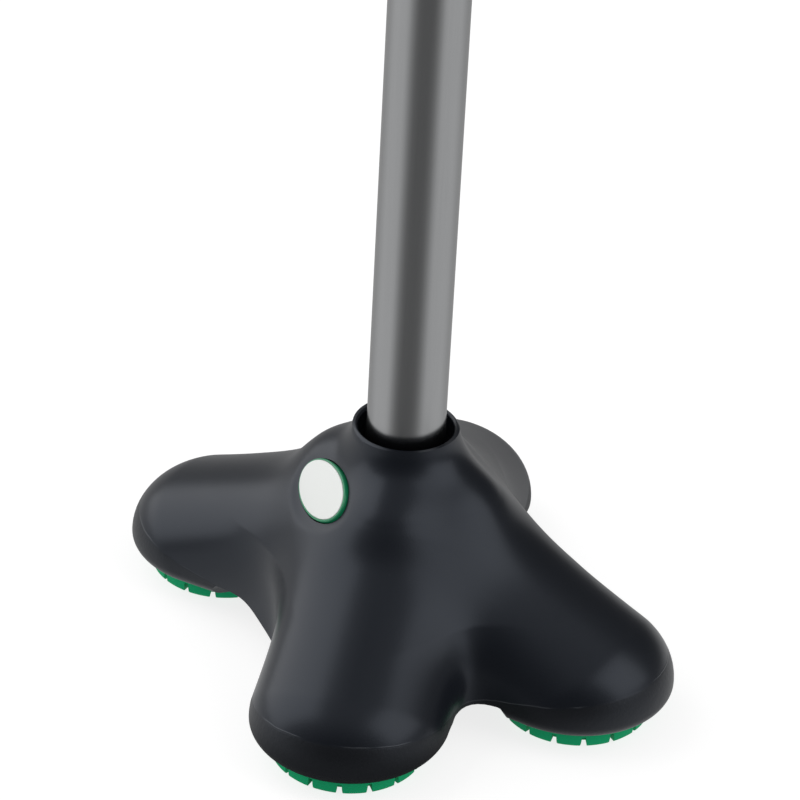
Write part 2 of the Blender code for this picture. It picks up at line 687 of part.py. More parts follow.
def make_lower_tube():
    """Lower shaft, with the one hole that the snap button stands in."""
    tube = turned(
        "lower_tube",
        tube_profile(LOWER_RADIUS, LOWER_BORE, LOWER_BOTTOM, LOWER_TOP),
        ALUMINIUM,
        steps=TUBE_STEPS,
    )
    cut(tube, hole_cutter("lower_hole", [BUTTON_HEIGHT]))
    return tube


def button_head():
    """Distance of the button head's outer face from the shaft's axis."""
    return math.sqrt(LOWER_BORE**2 - BUTTON_HEAD_RADIUS**2) - TOUCH_GAP


def make_button():
    """Snap button: a domed stud whose head stays inside the lower tube."""
    head = button_head()
    profile = []
    for step in range(BUTTON_DOME_STEPS + 1):
        angle = 0.5 * math.pi * step / BUTTON_DOME_STEPS
        height = BUTTON_REACH - BUTTON_DOME * (1.0 - math.cos(angle))
        profile.append((BUTTON_RADIUS * math.sin(angle), height))
    profile += [
        (BUTTON_RADIUS, head),
        (BUTTON_HEAD_RADIUS, head),
        (BUTTON_HEAD_RADIUS, head - BUTTON_HEAD_THICKNESS),
        (0.0, head - BUTTON_HEAD_THICKNESS),
    ]
    place = axis_place((0.0, 0.0, BUTTON_HEIGHT), (-1.0, 0.0, 0.0))
    turned("snap_button", profile, ZINC, steps=TUBE_STEPS, place=place)


def make_button_spring():
    """V spring: one leg behind the button, the other against the far wall of the tube."""
    half = SPRING_THICKNESS / 2.0
    near = -(button_head() - BUTTON_HEAD_THICKNESS - TOUCH_GAP - half)
    far = math.sqrt(LOWER_BORE**2 - (SPRING_WIDTH / 2.0) ** 2) - TOUCH_GAP - half
    top = BUTTON_HEIGHT + SPRING_RISE
    knee = BUTTON_HEIGHT - SPRING_RISE
    low = BUTTON_HEIGHT - SPRING_DROP
    middle = 0.5 * (near + far)
    path = [(near, top), (near, knee)]
    for step in range(SPRING_TURN_STEPS + 1):
        angle = math.pi + math.pi * step / SPRING_TURN_STEPS
        x = middle + SPRING_TURN_RADIUS * math.cos(angle)
        path.append((x, low + SPRING_TURN_RADIUS * (1.0 + math.sin(angle))))
    path += [(far, knee), (far, top)]
    shape = bmesh.new()
    edge = [shape.verts.new((x, -SPRING_WIDTH / 2.0, z)) for x, z in path]
    lines = [shape.edges.new(pair) for pair in zip(edge, edge[1:])]
    pulled = bmesh.ops.extrude_edge_only(shape, edges=lines)
    raised = [part for part in pulled["geom"] if isinstance(part, bmesh.types.BMVert)]
    bmesh.ops.translate(shape, vec=(0.0, SPRING_WIDTH, 0.0), verts=raised)
    spring = mesh_object("button_spring", shape, SPRING_STEEL)
    thick = spring.modifiers.new("Thickness", "SOLIDIFY")
    thick.thickness = SPRING_THICKNESS
    thick.offset = 0.0
    thick.use_even_offset = True


def make_glide_cap():
    """Plastic cap on the lower tube's top, which slides in the upper tube."""
    seat = LOWER_TOP + TOUCH_GAP
    profile = [
        (LOWER_RADIUS, seat + GLIDE_FLANGE),
        (LOWER_RADIUS, seat),
        (LOWER_BORE - TOUCH_GAP, seat),
        (LOWER_BORE - TOUCH_GAP, seat - GLIDE_STEM),
        (GLIDE_BORE_RADIUS, seat - GLIDE_STEM),
        (GLIDE_BORE_RADIUS, seat + GLIDE_FLANGE),
    ]
    turned("glide_cap", profile, NYLON, steps=TUBE_STEPS)


def make_sleeve():
    """Split sleeve on the upper tube's lower end, which the lock ring screws up."""
    seat = UPPER_BOTTOM - TOUCH_GAP
    profile = [
        (SLEEVE_FLANGE_RADIUS, SLEEVE_TOP + SLEEVE_FLANGE),
        (SLEEVE_FLANGE_RADIUS, SLEEVE_TOP),
        (SLEEVE_RADIUS, SLEEVE_TOP),
        (SLEEVE_RADIUS, SLEEVE_BOTTOM),
        (UPPER_BORE, SLEEVE_BOTTOM),
        (UPPER_BORE, seat),
        (UPPER_RADIUS + TOUCH_GAP, seat),
        (UPPER_RADIUS + TOUCH_GAP, SLEEVE_TOP + SLEEVE_FLANGE),
    ]
    sleeve = turned("collar_sleeve", profile, NYLON)
    for index in range(SLEEVE_SLOTS):
        shape = bmesh.new()
        height = SLEEVE_SLOT_DEPTH + CUT_MARGIN
        reach = SLEEVE_RADIUS + CUT_MARGIN
        middle = SLEEVE_BOTTOM + SLEEVE_SLOT_DEPTH - height / 2.0
        spot = Matrix.Translation((reach / 2.0, 0.0, middle))
        size = Matrix.Diagonal((reach, SLEEVE_SLOT_WIDTH, height, 1.0))
        turn = Matrix.Rotation(2.0 * math.pi * index / SLEEVE_SLOTS, 4, "Z")
        bmesh.ops.create_cube(shape, size=1.0, matrix=turn @ spot @ size)
        cut(sleeve, mesh_object(f"sleeve_slot_{index}", shape))
    return sleeve


def make_wiper():
    """Ring under the sleeve, which rides up and down in the lock ring."""
    top = SLEEVE_BOTTOM - TOUCH_GAP
    profile = tube_profile(WIPER_RADIUS, LOWER_RADIUS + WIPER_GAP, top - WIPER_THICKNESS, top)
    turned("wiper_ring", profile, GREEN_RUBBER)


def make_lock_ring():
    """Fluted ring nut round the sleeve."""
    shoulder = SLEEVE_BOTTOM - 2.0 * TOUCH_GAP - WIPER_THICKNESS
    bottom = shoulder - LOCK_LIP
    top = SLEEVE_TOP - TOUCH_GAP
    lip = LOWER_RADIUS + WIPER_GAP
    bore = SLEEVE_RADIUS + TOUCH_GAP
    profile = [
        (LOCK_RADIUS - LOCK_CHAMFER, top),
        (LOCK_RADIUS, top - LOCK_CHAMFER),
        (LOCK_RADIUS, bottom + LOCK_CHAMFER),
        (LOCK_RADIUS - LOCK_CHAMFER, bottom),
        (lip, bottom),
        (lip, shoulder),
        (bore, shoulder),
        (bore, top),
    ]
    ring = turned("lock_ring", profile, NYLON, steps=2 * FLUTE_COUNT)
    shape = bmesh.new()
    across = LOCK_RADIUS + FLUTE_RADIUS - FLUTE_DEPTH
    for index in range(FLUTE_COUNT):
        angle = 2.0 * math.pi * index / FLUTE_COUNT
        spot = (across * math.cos(angle), across * math.sin(angle), 0.5 * (top + bottom))
        bmesh.ops.create_cone(
            shape,
            cap_ends=True,
            segments=TUBE_STEPS // 2,
            radius1=FLUTE_RADIUS,
            radius2=FLUTE_RADIUS,
            depth=top - bottom + 2.0 * CUT_MARGIN,
            matrix=Matrix.Translation(spot),
        )
    cut(ring, mesh_object("flutes", shape))
    return ring


def arc(start, heading, turn, radius):
    """Points of an arc in the X-Z plane, with its end and its end heading.

    The heading is an angle from +Z towards +X. A positive turn bends towards +X.
    """
    side = math.copysign(1.0, turn)
    centre = start + side * radius * Vector((math.cos(heading), -math.sin(heading)))
    count = max(2, math.ceil(abs(turn) / BOW_STEP))
    points = []
    for step in range(1, count + 1):
        now = heading + turn * step / count
        points.append(centre - side * radius * Vector((math.cos(now), -math.sin(now))))
    return points, points[-1], heading + turn


def bow_points():
    """Centre line of the upper tube, as (x, z) points from its lower end to the grip's end."""
    points = [Vector((0.0, UPPER_BOTTOM)), Vector((0.0, BEND_START))]
    lower, end, heading = arc(points[-1], 0.0, BOW_LEAN, BOW_LOWER_RADIUS)
    points += lower
    end = end + BOW_STRAIGHT * Vector((math.sin(heading), math.cos(heading)))
    points.append(end)
    upper, end, heading = arc(end, heading, -BOW_LEAN - math.pi / 2.0, BOW_UPPER_RADIUS)
    points += upper
    points.append(end - Vector((GRIP_TUBE_LENGTH, 0.0)))
    return points


def bow_end():
    """Where the bow ends and the level tube of the grip begins, as (x, z)."""
    return bow_points()[-2]


def swept(name, points, radius, extra):
    """Round bar along (x, z) points, longer by extra at both ends, as a bmesh."""
    first = points[0] - extra * (points[1] - points[0]).normalized()
    last = points[-1] + extra * (points[-1] - points[-2]).normalized()
    route = [first, *points[1:-1], last]
    curve = bpy.data.curves.new(name, "CURVE")
    curve.dimensions = "3D"
    curve.bevel_depth = radius
    curve.bevel_resolution = TUBE_STEPS // 2 - 2
    curve.use_fill_caps = True
    line = curve.splines.new("POLY")
    line.points.add(len(route) - 1)
    for point, (x, z) in zip(line.points, route):
        point.co = (x, 0.0, z, 1.0)
    made = bpy.data.objects.new(name, curve)
    CUTTERS.objects.link(made)
    bpy.context.view_layer.update()
    evaluated = made.evaluated_get(bpy.context.evaluated_depsgraph_get())
    mesh = bpy.data.meshes.new_from_object(evaluated)
    shape = bmesh.new()
    shape.from_mesh(mesh)
    bmesh.ops.remove_doubles(shape, verts=shape.verts, dist=0.00001)
    bmesh.ops.recalc_face_normals(shape, faces=shape.faces)
    bpy.data.objects.remove(made, do_unlink=True)
    bpy.data.meshes.remove(mesh)
    bpy.data.curves.remove(curve)
    return shape


def make_upper_tube():
    """Upper shaft with its row of height holes, bent into the bow and the grip's tube."""
    points = bow_points()
    tube = mesh_object("upper_tube", swept("bow_outside", points, UPPER_RADIUS, 0.0), ALUMINIUM)
    cut(tube, mesh_object("bow_inside", swept("bow_bore", points, UPPER_BORE, CUT_MARGIN)))
    heights = [LOWEST_HOLE + index * HOLE_PITCH for index in range(HOLE_COUNT)]
    cut(tube, hole_cutter("height_holes", heights))
    return tube


def grip_place():
    """Return the matrix of the grip: its origin where the bow ends and its +Z rearwards."""
    x, z = bow_end()
    return axis_place((x, 0.0, z), (-1.0, 0.0, 0.0))


def make_grip():
    """Handle: rigid core, soft cover, end cap, and the plug and screw that hold the cap."""
    place = grip_place()
    core_inner = UPPER_RADIUS + TOUCH_GAP
    core_outer = core_inner + GRIP_CORE_WALL
    collar_end = GRIP_FRONT + GRIP_COLLAR
    core = [
        (core_outer, GRIP_TUBE_LENGTH),
        (core_outer, collar_end),
        (GRIP_COLLAR_RADIUS, collar_end),
        (GRIP_COLLAR_RADIUS, GRIP_FRONT),
        (core_inner, GRIP_FRONT),
        (core_inner, GRIP_TUBE_LENGTH),
    ]
    turned("grip_core", core, NYLON, place=place)

    front = collar_end + TOUCH_GAP
    length = GRIP_TUBE_LENGTH - front
    inner = core_outer + TOUCH_GAP
    cover = [(GRIP_WAIST_RADIUS, front + length)]
    for step in range(GRIP_SWELL_STEPS - 1, 0, -1):
        share = step / GRIP_SWELL_STEPS
        swell = (GRIP_RADIUS - GRIP_WAIST_RADIUS) * math.sin(math.pi * share) ** 2
        cover.append((GRIP_WAIST_RADIUS + swell, front + share * length))
    cover += [
        (GRIP_WAIST_RADIUS, front + GRIP_EDGE),
        (GRIP_WAIST_RADIUS - GRIP_EDGE, front),
        (inner, front),
        (inner, front + length),
    ]
    turned("grip_cover", cover, GRIP_RUBBER, place=place)

    seat = GRIP_TUBE_LENGTH + TOUCH_GAP
    back = seat + CAP_THICKNESS
    hole = CAP_SCREW_RADIUS + TOUCH_GAP
    pocket = CAP_SCREW_HEAD_RADIUS + TOUCH_GAP
    pocket_floor = back - CAP_SCREW_HEAD_HEIGHT - 2.0 * TOUCH_GAP
    cap = []
    for step in range(CAP_EDGE_STEPS + 1):
        angle = 0.5 * math.pi * step / CAP_EDGE_STEPS
        drop = CAP_EDGE * (1.0 - math.cos(angle))
        cap.append((CAP_RADIUS - CAP_EDGE * (1.0 - math.sin(angle)), back - drop))
    cap += [
        (CAP_RADIUS, seat),
        (hole, seat),
        (hole, pocket_floor),
        (pocket, pocket_floor),
        (pocket, back),
    ]
    turned("grip_end_cap", cap, NYLON, place=place)

    head_floor = pocket_floor + TOUCH_GAP
    screw = [
        (0.0, head_floor + CAP_SCREW_HEAD_HEIGHT),
        (CAP_SCREW_HEAD_RADIUS, head_floor + CAP_SCREW_HEAD_HEIGHT),
        (CAP_SCREW_HEAD_RADIUS, head_floor),
        (CAP_SCREW_RADIUS, head_floor),
        (CAP_SCREW_RADIUS, head_floor - CAP_SCREW_LENGTH),
        (0.0, head_floor - CAP_SCREW_LENGTH),
    ]
    turned("grip_screw", screw, ZINC, steps=TUBE_STEPS, place=place)
    plug_end = GRIP_TUBE_LENGTH - GRIP_PLUG_LENGTH
    plug = tube_profile(UPPER_BORE - TOUCH_GAP, hole, plug_end, GRIP_TUBE_LENGTH)
    turned("grip_plug", plug, NYLON, steps=TUBE_STEPS, place=place)


def smoothing_tree():
    """Node tree that shades a mesh smooth and keeps the edges of a corner sharp."""
    tree = bpy.data.node_groups.new("smooth_by_angle", "GeometryNodeTree")
    for way in ("INPUT", "OUTPUT"):
        tree.interface.new_socket("Geometry", in_out=way, socket_type="NodeSocketGeometry")
    start = tree.nodes.new("NodeGroupInput")
    end = tree.nodes.new("NodeGroupOutput")
    faces = tree.nodes.new("GeometryNodeSetShadeSmooth")
    edges = tree.nodes.new("GeometryNodeSetShadeSmooth")
    edges.domain = "EDGE"
    angle = tree.nodes.new("GeometryNodeInputMeshEdgeAngle")
    shallow = tree.nodes.new("FunctionNodeCompare")
    shallow.operation = "LESS_THAN"
    shallow.inputs["B"].default_value = CORNER
    tree.links.new(angle.outputs["Unsigned Angle"], shallow.inputs["A"])
    tree.links.new(shallow.outputs["Result"], edges.inputs["Shade Smooth"])
    tree.links.new(start.outputs["Geometry"], faces.inputs["Geometry"])
    tree.links.new(faces.outputs["Geometry"], edges.inputs["Geometry"])
    tree.links.new(edges.outputs["Geometry"], end.inputs["Geometry"])
    return tree


def smooth_pieces():
    """Shade the pieces smooth, with their corners kept sharp."""
    tree = smoothing_tree()
    for piece in PARTS.objects:
        piece.modifiers.new("Smooth", "NODES").node_group = tree


clear_scene()
PARTS = new_collection("quad_cane")
CUTTERS = new_collection("quad_cane_cutters")
make_boot()
make_core()
for foot_name, foot_values in FEET.items():
    make_tread(foot_name, *foot_values)
make_badge()
make_fixing()
make_lower_tube()
make_button()
make_button_spring()
make_glide_cap()
make_sleeve()
make_wiper()
make_lock_ring()
make_upper_tube()
make_grip()
smooth_pieces()
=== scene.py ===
"""Studio scene of an offset quad cane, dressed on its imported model.

Metres, +Z up. The shaft stands on the origin, +X is the walking direction and the badge is on
the -Y side. Each class of pieces below is one sub-assembly: it holds its sizes, builds its
meshes, dresses them in their finishes and hands them to the body that they move with.
"""

from __future__ import annotations

import json
import logging
import math
from dataclasses import dataclass, field
from enum import Enum
from typing import Any, ClassVar, Iterable, Mapping, Sequence, Union

import bmesh
import bpy
import numpy as np
from mathutils import Matrix, Vector

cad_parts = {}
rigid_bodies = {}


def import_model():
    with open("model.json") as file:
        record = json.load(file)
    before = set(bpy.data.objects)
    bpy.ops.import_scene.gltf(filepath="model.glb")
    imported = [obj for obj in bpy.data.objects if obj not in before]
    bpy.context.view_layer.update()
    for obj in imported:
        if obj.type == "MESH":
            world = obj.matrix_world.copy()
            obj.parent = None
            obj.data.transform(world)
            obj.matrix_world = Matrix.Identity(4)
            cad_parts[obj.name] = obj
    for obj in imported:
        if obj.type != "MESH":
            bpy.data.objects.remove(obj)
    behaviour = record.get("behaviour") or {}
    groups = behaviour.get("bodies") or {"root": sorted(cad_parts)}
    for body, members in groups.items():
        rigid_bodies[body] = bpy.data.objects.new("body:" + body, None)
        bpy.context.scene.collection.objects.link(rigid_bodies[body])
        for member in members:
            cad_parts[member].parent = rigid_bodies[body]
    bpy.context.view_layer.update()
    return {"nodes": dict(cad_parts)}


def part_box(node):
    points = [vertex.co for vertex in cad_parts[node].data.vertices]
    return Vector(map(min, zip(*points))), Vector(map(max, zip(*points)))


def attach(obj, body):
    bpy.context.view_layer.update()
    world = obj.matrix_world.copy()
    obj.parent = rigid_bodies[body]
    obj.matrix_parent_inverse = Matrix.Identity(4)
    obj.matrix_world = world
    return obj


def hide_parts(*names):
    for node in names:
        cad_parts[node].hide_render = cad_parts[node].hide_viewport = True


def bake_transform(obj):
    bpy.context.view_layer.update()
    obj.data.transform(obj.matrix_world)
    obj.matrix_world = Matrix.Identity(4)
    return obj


LOG = logging.getLogger("quad_cane")

Colour = tuple[float, float, float]
Point = tuple[float, float, float]
Corner = tuple[float, ...]
Key = Union[str, int]
Operand = Union["Signal", float]

GAP = 0.0003  # between pieces that lie on or in each other
MARGIN = 0.002  # by which a cutter stands out of what it cuts
HAIR = 0.0001  # fillets, from a crisp edge to a worn one
FINE = 0.0002
EASED = 0.0003
SOFT = 0.0004
WORN = 0.0008
FILLET_STEP = math.radians(20.0)
FILLET_SHARE = 0.45  # of a side, at most
SMALLEST = 0.001  # below which a divisor isn't let
NO_LENGTH = 1e-7
HALVINGS = 30  # of a span in which a surface is looked for
REARWARDS = (-1.0, 0.0, 0.0)
HEXAGON = 6  # faces round a turned piece, by its size
DRILL_ROUND = 48
SMALL_ROUND = 64
ROUND = 96
LARGE_ROUND = 128


class Body(Enum):
    """Bodies of the cane that pieces ride on."""

    FOOT = "foot_and_shaft"
    HANDLE = "handle_section"
    BUTTON = "snap_button"
    WIPER = "wiper_ring"
    LOCK = "lock_ring"


class Foot(Enum):
    """The four feet: the side that each lies on, and how its tread is turned in the boot."""

    FRONT_RIGHT = (1, -1, math.radians(17.7))
    FRONT_LEFT = (1, 1, math.radians(5.2))
    REAR_RIGHT = (-1, -1, math.radians(15.9))
    REAR_LEFT = (-1, 1, math.radians(3.0))

    @property
    def label(self) -> str:
        """Name of the foot in the names of its pieces."""
        return self.name.lower()

    @property
    def side(self) -> tuple[int, int]:
        """Signs of its place along the walk and across it."""
        return self.value[:2]

    @property
    def turn(self) -> float:
        """How the tread happens to be turned in the boot, in radians."""
        return self.value[2]


class Signal:
    """A value that flows between nodes, with Python's operators as its maths."""

    def __init__(self, nodes: "Nodes", socket: bpy.types.NodeSocket) -> None:
        """Wrap an output socket of a node tree."""
        self.nodes = nodes
        self.socket = socket

    def other(self, key: Key) -> "Signal":
        """Return another output of the same node."""
        return Signal(self.nodes, self.socket.node.outputs[key])

    def maths(self, operation: str, *operands: Operand) -> "Signal":
        """Return the result of a Math node on this value and the operands."""
        values = dict(enumerate((self, *operands)))
        return self.nodes.node("ShaderNodeMath", {"operation": operation}, values)

    def __add__(self, other: Operand) -> "Signal":
        """Return self + other."""
        return self.maths("ADD", other)

    __radd__ = __add__

    def __sub__(self, other: Operand) -> "Signal":
        """Return self - other."""
        return self.maths("SUBTRACT", other)

    def __rsub__(self, other: float) -> "Signal":
        """Return other - self."""
        return (self * -1.0) + other

    def __mul__(self, other: Operand) -> "Signal":
        """Return self * other."""
        return self.maths("MULTIPLY", other)

    __rmul__ = __mul__

    def __truediv__(self, other: Operand) -> "Signal":
        """Return self / other."""
        return self.maths("DIVIDE", other)

    def __pow__(self, other: Operand) -> "Signal":
        """Return self ** other."""
        return self.maths("POWER", other)

    def __abs__(self) -> "Signal":
        """Return abs(self)."""
        return self.maths("ABSOLUTE")

    def ramp(self, low: Operand, high: Operand) -> "Signal":
        """Return a smooth step from 0 at low to 1 at high, which may be the smaller of the two."""
        values = {"Value": self, "From Min": low, "From Max": high}
        return self.nodes.node("ShaderNodeMapRange", {"interpolation_type": "SMOOTHSTEP"}, values)


class Nodes:
    """A node tree that is being filled."""

    def __init__(self, tree: bpy.types.NodeTree) -> None:
        """Start on a node tree."""
        self.tree = tree

    def node(
        self,
        kind: str,
        settings: Mapping[str, Any] | None = None,
        values: Mapping[Key, Any] | None = None,
        output: Key = 0,
    ) -> Signal:
        """Add a node, set it up and link it.

        Args:
            kind: The node's type.
            settings: Its properties, which are set first.
            values: Its inputs by name or place: a number, a vector or a Signal.
            output: Name or place of the output to return.

        Returns:
            That output.
        """
        made = self.tree.nodes.new(kind)
        for name, value in (settings or {}).items():
            setattr(made, name, value)
        for key, value in (values or {}).items():
            socket = made.inputs[key]
            if isinstance(value, Signal):
                self.tree.links.new(value.socket, socket)
            else:
                socket.default_value = value
        return Signal(self, made.outputs[output] if made.outputs else made.inputs[0])

    def vector(self, x: Operand, y: Operand, z: Operand) -> Signal:
        """Return a vector of three values."""
        return self.node("ShaderNodeCombineXYZ", values={"X": x, "Y": y, "Z": z})

    def parts(self, vector: Signal) -> tuple[Signal, Signal, Signal]:
        """Return the three values of a vector."""
        x = self.node("ShaderNodeSeparateXYZ", values={"Vector": vector})
        return x, x.other("Y"), x.other("Z")


class Shading(Nodes):
    """The nodes of one material."""

    FEW: ClassVar = 2.0  # finer layers of a noise
    SOME: ClassVar = 3.0
    MANY: ClassVar = 4.0
    GRIT: ClassVar = 0.55  # weight of each finer layer against the one before

    def place(self) -> Signal:
        """Return the point on the piece, in metres."""
        return self.node("ShaderNodeTexCoord", output="Object")

    def attribute(self, name: str) -> Signal:
        """Return a vector that the mesh carries under a name."""
        return self.node("ShaderNodeAttribute", {"attribute_name": name}, output="Vector")

    def noise(self, where: Signal, size: float, detail: float = FEW) -> Signal:
        """Return noise from 0 to 1, in patches of a size in metres."""
        values = {"Vector": where, "Scale": 1.0 / size, "Detail": detail, "Roughness": self.GRIT}
        return self.node("ShaderNodeTexNoise", values=values)

    def cells(self, where: Signal, size: float) -> Signal:
        """Return the distance to the nearest of scattered points, in shares of their spacing."""
        values = {"Vector": where, "Scale": 1.0 / size}
        return self.node("ShaderNodeTexVoronoi", values=values)

    def drawn_out(self, where: Signal, share: float) -> Signal:
        """Return a point whose pattern is drawn out along Z, by the share that Z is cut to."""
        return self.node("ShaderNodeMapping", values={"Vector": where, "Scale": (1.0, 1.0, share)})

    def blend(self, share: Operand, first: Signal, second: Colour) -> Signal:
        """Return the first colour with a share of the second one mixed in."""
        values = {0: share, 6: first, 7: (*second, 1.0)}
        return self.node("ShaderNodeMix", {"data_type": "RGBA"}, values, output=2)

    def toned(self, colour: Colour, tone: Operand) -> Signal:
        """Return a colour made lighter or darker by a factor."""
        values = {0: colour, "Scale": tone}
        return self.node("ShaderNodeVectorMath", {"operation": "SCALE"}, values)

    def bump(self, height: Signal, depth: float, over: Signal | None = None) -> Signal:
        """Return a normal that follows small heights.

        Args:
            height: The height, from 0 to 1.
            depth: How deep a height of 1 is, in metres.
            over: Another bump that this one lies on.

        Returns:
            The normal.
        """
        values: dict[Key, Any] = {"Height": height, "Distance": depth}
        if over is not None:
            values["Normal"] = over
        return self.node("ShaderNodeBump", values=values)


@dataclass(frozen=True)
class Finish:
    """A finish with a fine grain and a slight drift of tone."""

    name: str
    slot: str
    colour: Colour
    roughness: float
    metallic: float = 0.0
    specular: float = 0.5
    tint: Colour = (1.0, 1.0, 1.0)
    coat: float = 0.0
    coat_roughness: float = 0.15
    drift: float = 0.06
    drift_size: float = 0.015
    grain_size: float = 0.0004
    grain_detail: float = Shading.FEW
    grain_depth: float = 0.00001
    rough_drift: float = 0.04

    def material(self) -> bpy.types.Material:
        """Make the finish as a material, once.

        Returns:
            The material.
        """
        made = bpy.data.materials.get(self.name)
        if made is not None:
            return made
        made = bpy.data.materials.new(self.name)
        made.use_nodes = True
        made.node_tree.nodes.clear()
        shading = Shading(made.node_tree)
        values = {
            **self.paint(shading),
            "Metallic": self.metallic,
            "Specular IOR Level": self.specular,
            "Specular Tint": (*self.tint, 1.0),
            "Coat Weight": self.coat,
            "Coat Roughness": self.coat_roughness,
        }
        surface = shading.node("ShaderNodeBsdfPrincipled", values=values)
        shading.node("ShaderNodeOutputMaterial", values={"Surface": surface})
        made.diffuse_color = (*self.colour, 1.0)
        return made

    def ground(self, shading: Shading) -> tuple[Signal, Signal, Signal]:
        """Work out what most finishes start from.

        Args:
            shading: The material's nodes.

        Returns:
            The drifting colour, the roughness and the grain.
        """
        where = shading.place()
        patches = shading.noise(where, self.drift_size, Shading.SOME)
        grain = shading.noise(where, self.grain_size, self.grain_detail)
        tone = 1.0 + (patches - 0.5) * (2.0 * self.drift)
        roughness = self.roughness + (grain + patches - 1.0) * self.rough_drift
        return shading.toned(self.colour, tone), roughness, grain

    def paint(self, shading: Shading) -> dict[Key, Any]:
        """Work out the surface.

        Args:
            shading: The material's nodes.

        Returns:
            What the shader's sockets are fed with.
        """
        colour, roughness, grain = self.ground(shading)
        normal = shading.bump(grain, self.grain_depth)
        return {"Base Color": colour, "Roughness": roughness, "Normal": normal}


@dataclass(frozen=True)
class BootRubber(Finish):
    """Soft-touch rubber with the mould's hairline round the feet and a duller band below it."""

    line_height: float = 0.0120  # at line_reach from the shaft
    line_reach: float = 0.055
    line_rise: float = 0.222
    line_width: float = 0.00022
    line_depth: float = 0.00005
    line_share: float = 0.35
    line_colour: Colour = (0.10, 0.105, 0.11)
    wander: float = 0.0006
    wander_size: float = 0.006
    faint_size: float = 0.011
    faint_edge: tuple[float, float] = (0.40, 0.62)
    band_edge: tuple[float, float] = (0.0001, -0.0006)
    band_share: float = 0.8
    band_colour: Colour = (0.006, 0.0065, 0.0075)
    band_size: float = 0.0011
    band_depth: float = 0.00006
    band_roughness: float = 0.10
    speck_spacing: float = 0.0042
    speck_edge: tuple[float, float] = (0.055, 0.02)
    speck_patch: float = 0.009
    speck_spread: tuple[float, float] = (0.5, 0.7)
    speck_share: float = 0.10
    speck_colour: Colour = (0.14, 0.145, 0.15)

    def paint(self, shading: Shading) -> dict[Key, Any]:
        """Work out the surface.

        Args:
            shading: The material's nodes.

        Returns:
            What the shader's sockets are fed with.
        """
        skin, roughness, grain = self.ground(shading)
        where = shading.place()
        x, y, z = shading.parts(where)
        reach = (x * x + y * y) ** 0.5
        wander = (shading.noise(where, self.wander_size) - 0.5) * self.wander
        level = z - self.line_height - (reach - self.line_reach) * self.line_rise + wander
        under = level.ramp(*self.band_edge)
        faint = shading.noise(where, self.faint_size).ramp(*self.faint_edge)
        line = abs(level).ramp(self.line_width, 0.0) * faint
        spread = shading.noise(where, self.speck_patch).ramp(*self.speck_spread)
        specks = shading.cells(where, self.speck_spacing).ramp(*self.speck_edge) * spread
        skin = shading.blend(under * self.band_share, skin, self.band_colour)
        skin = shading.blend(line * self.line_share, skin, self.line_colour)
        skin = shading.blend(specks * self.speck_share, skin, self.speck_colour)
        coarse = shading.noise(where, self.band_size, Shading.MANY)
        fine = shading.bump(grain, self.grain_depth)
        dull = shading.bump(coarse * under, self.band_depth, fine)
        return {
            "Base Color": skin,
            "Roughness": roughness + under * self.band_roughness,
            "Normal": shading.bump(line, self.line_depth, dull),
        }


@dataclass(frozen=True)
class DrawnMetal(Finish):
    """Anodised tube with fine lines along the way that it was drawn."""

    lay: str = "lay"  # the attribute that runs along the tube
    line_size: float = 0.00035
    line_share: float = 0.012
    line_tone: float = 0.10
    line_depth: float = 0.000002
    band_size: float = 0.0035
    band_share: float = 0.05

    def paint(self, shading: Shading) -> dict[Key, Any]:
        """Work out the surface.

        Args:
            shading: The material's nodes.

        Returns:
            What the shader's sockets are fed with.
        """
        along = shading.attribute(self.lay)
        drawn = shading.drawn_out(along, self.line_share)
        lines = shading.noise(drawn, self.line_size, Shading.SOME)
        bands = shading.noise(shading.drawn_out(along, self.band_share), self.band_size)
        patches = shading.noise(along, self.drift_size, Shading.SOME)
        tone = 1.0 + (lines - 0.5) * self.line_tone + (patches + bands - 1.0) * self.drift
        return {
            "Base Color": shading.toned(self.colour, tone),
            "Roughness": self.roughness + (lines + bands - 1.0) * self.rough_drift,
            "Normal": shading.bump(lines, self.line_depth),
        }


@dataclass(frozen=True)
class TreadRubber(Finish):
    """Coloured rubber, matt, with a dusty bloom in its finest pores."""

    grain_detail: float = Shading.SOME
    bloom: Colour = (0.008, 0.400, 0.185)
    bloom_edge: tuple[float, float] = (0.55, 0.80)
    bloom_share: float = 0.25

    def paint(self, shading: Shading) -> dict[Key, Any]:
        """Work out the surface.

        Args:
            shading: The material's nodes.

        Returns:
            What the shader's sockets are fed with.
        """
        skin, roughness, grain = self.ground(shading)
        share = grain.ramp(*self.bloom_edge) * self.bloom_share
        return {
            "Base Color": shading.blend(share, skin, self.bloom),
            "Roughness": roughness,
            "Normal": shading.bump(grain, self.grain_depth),
        }


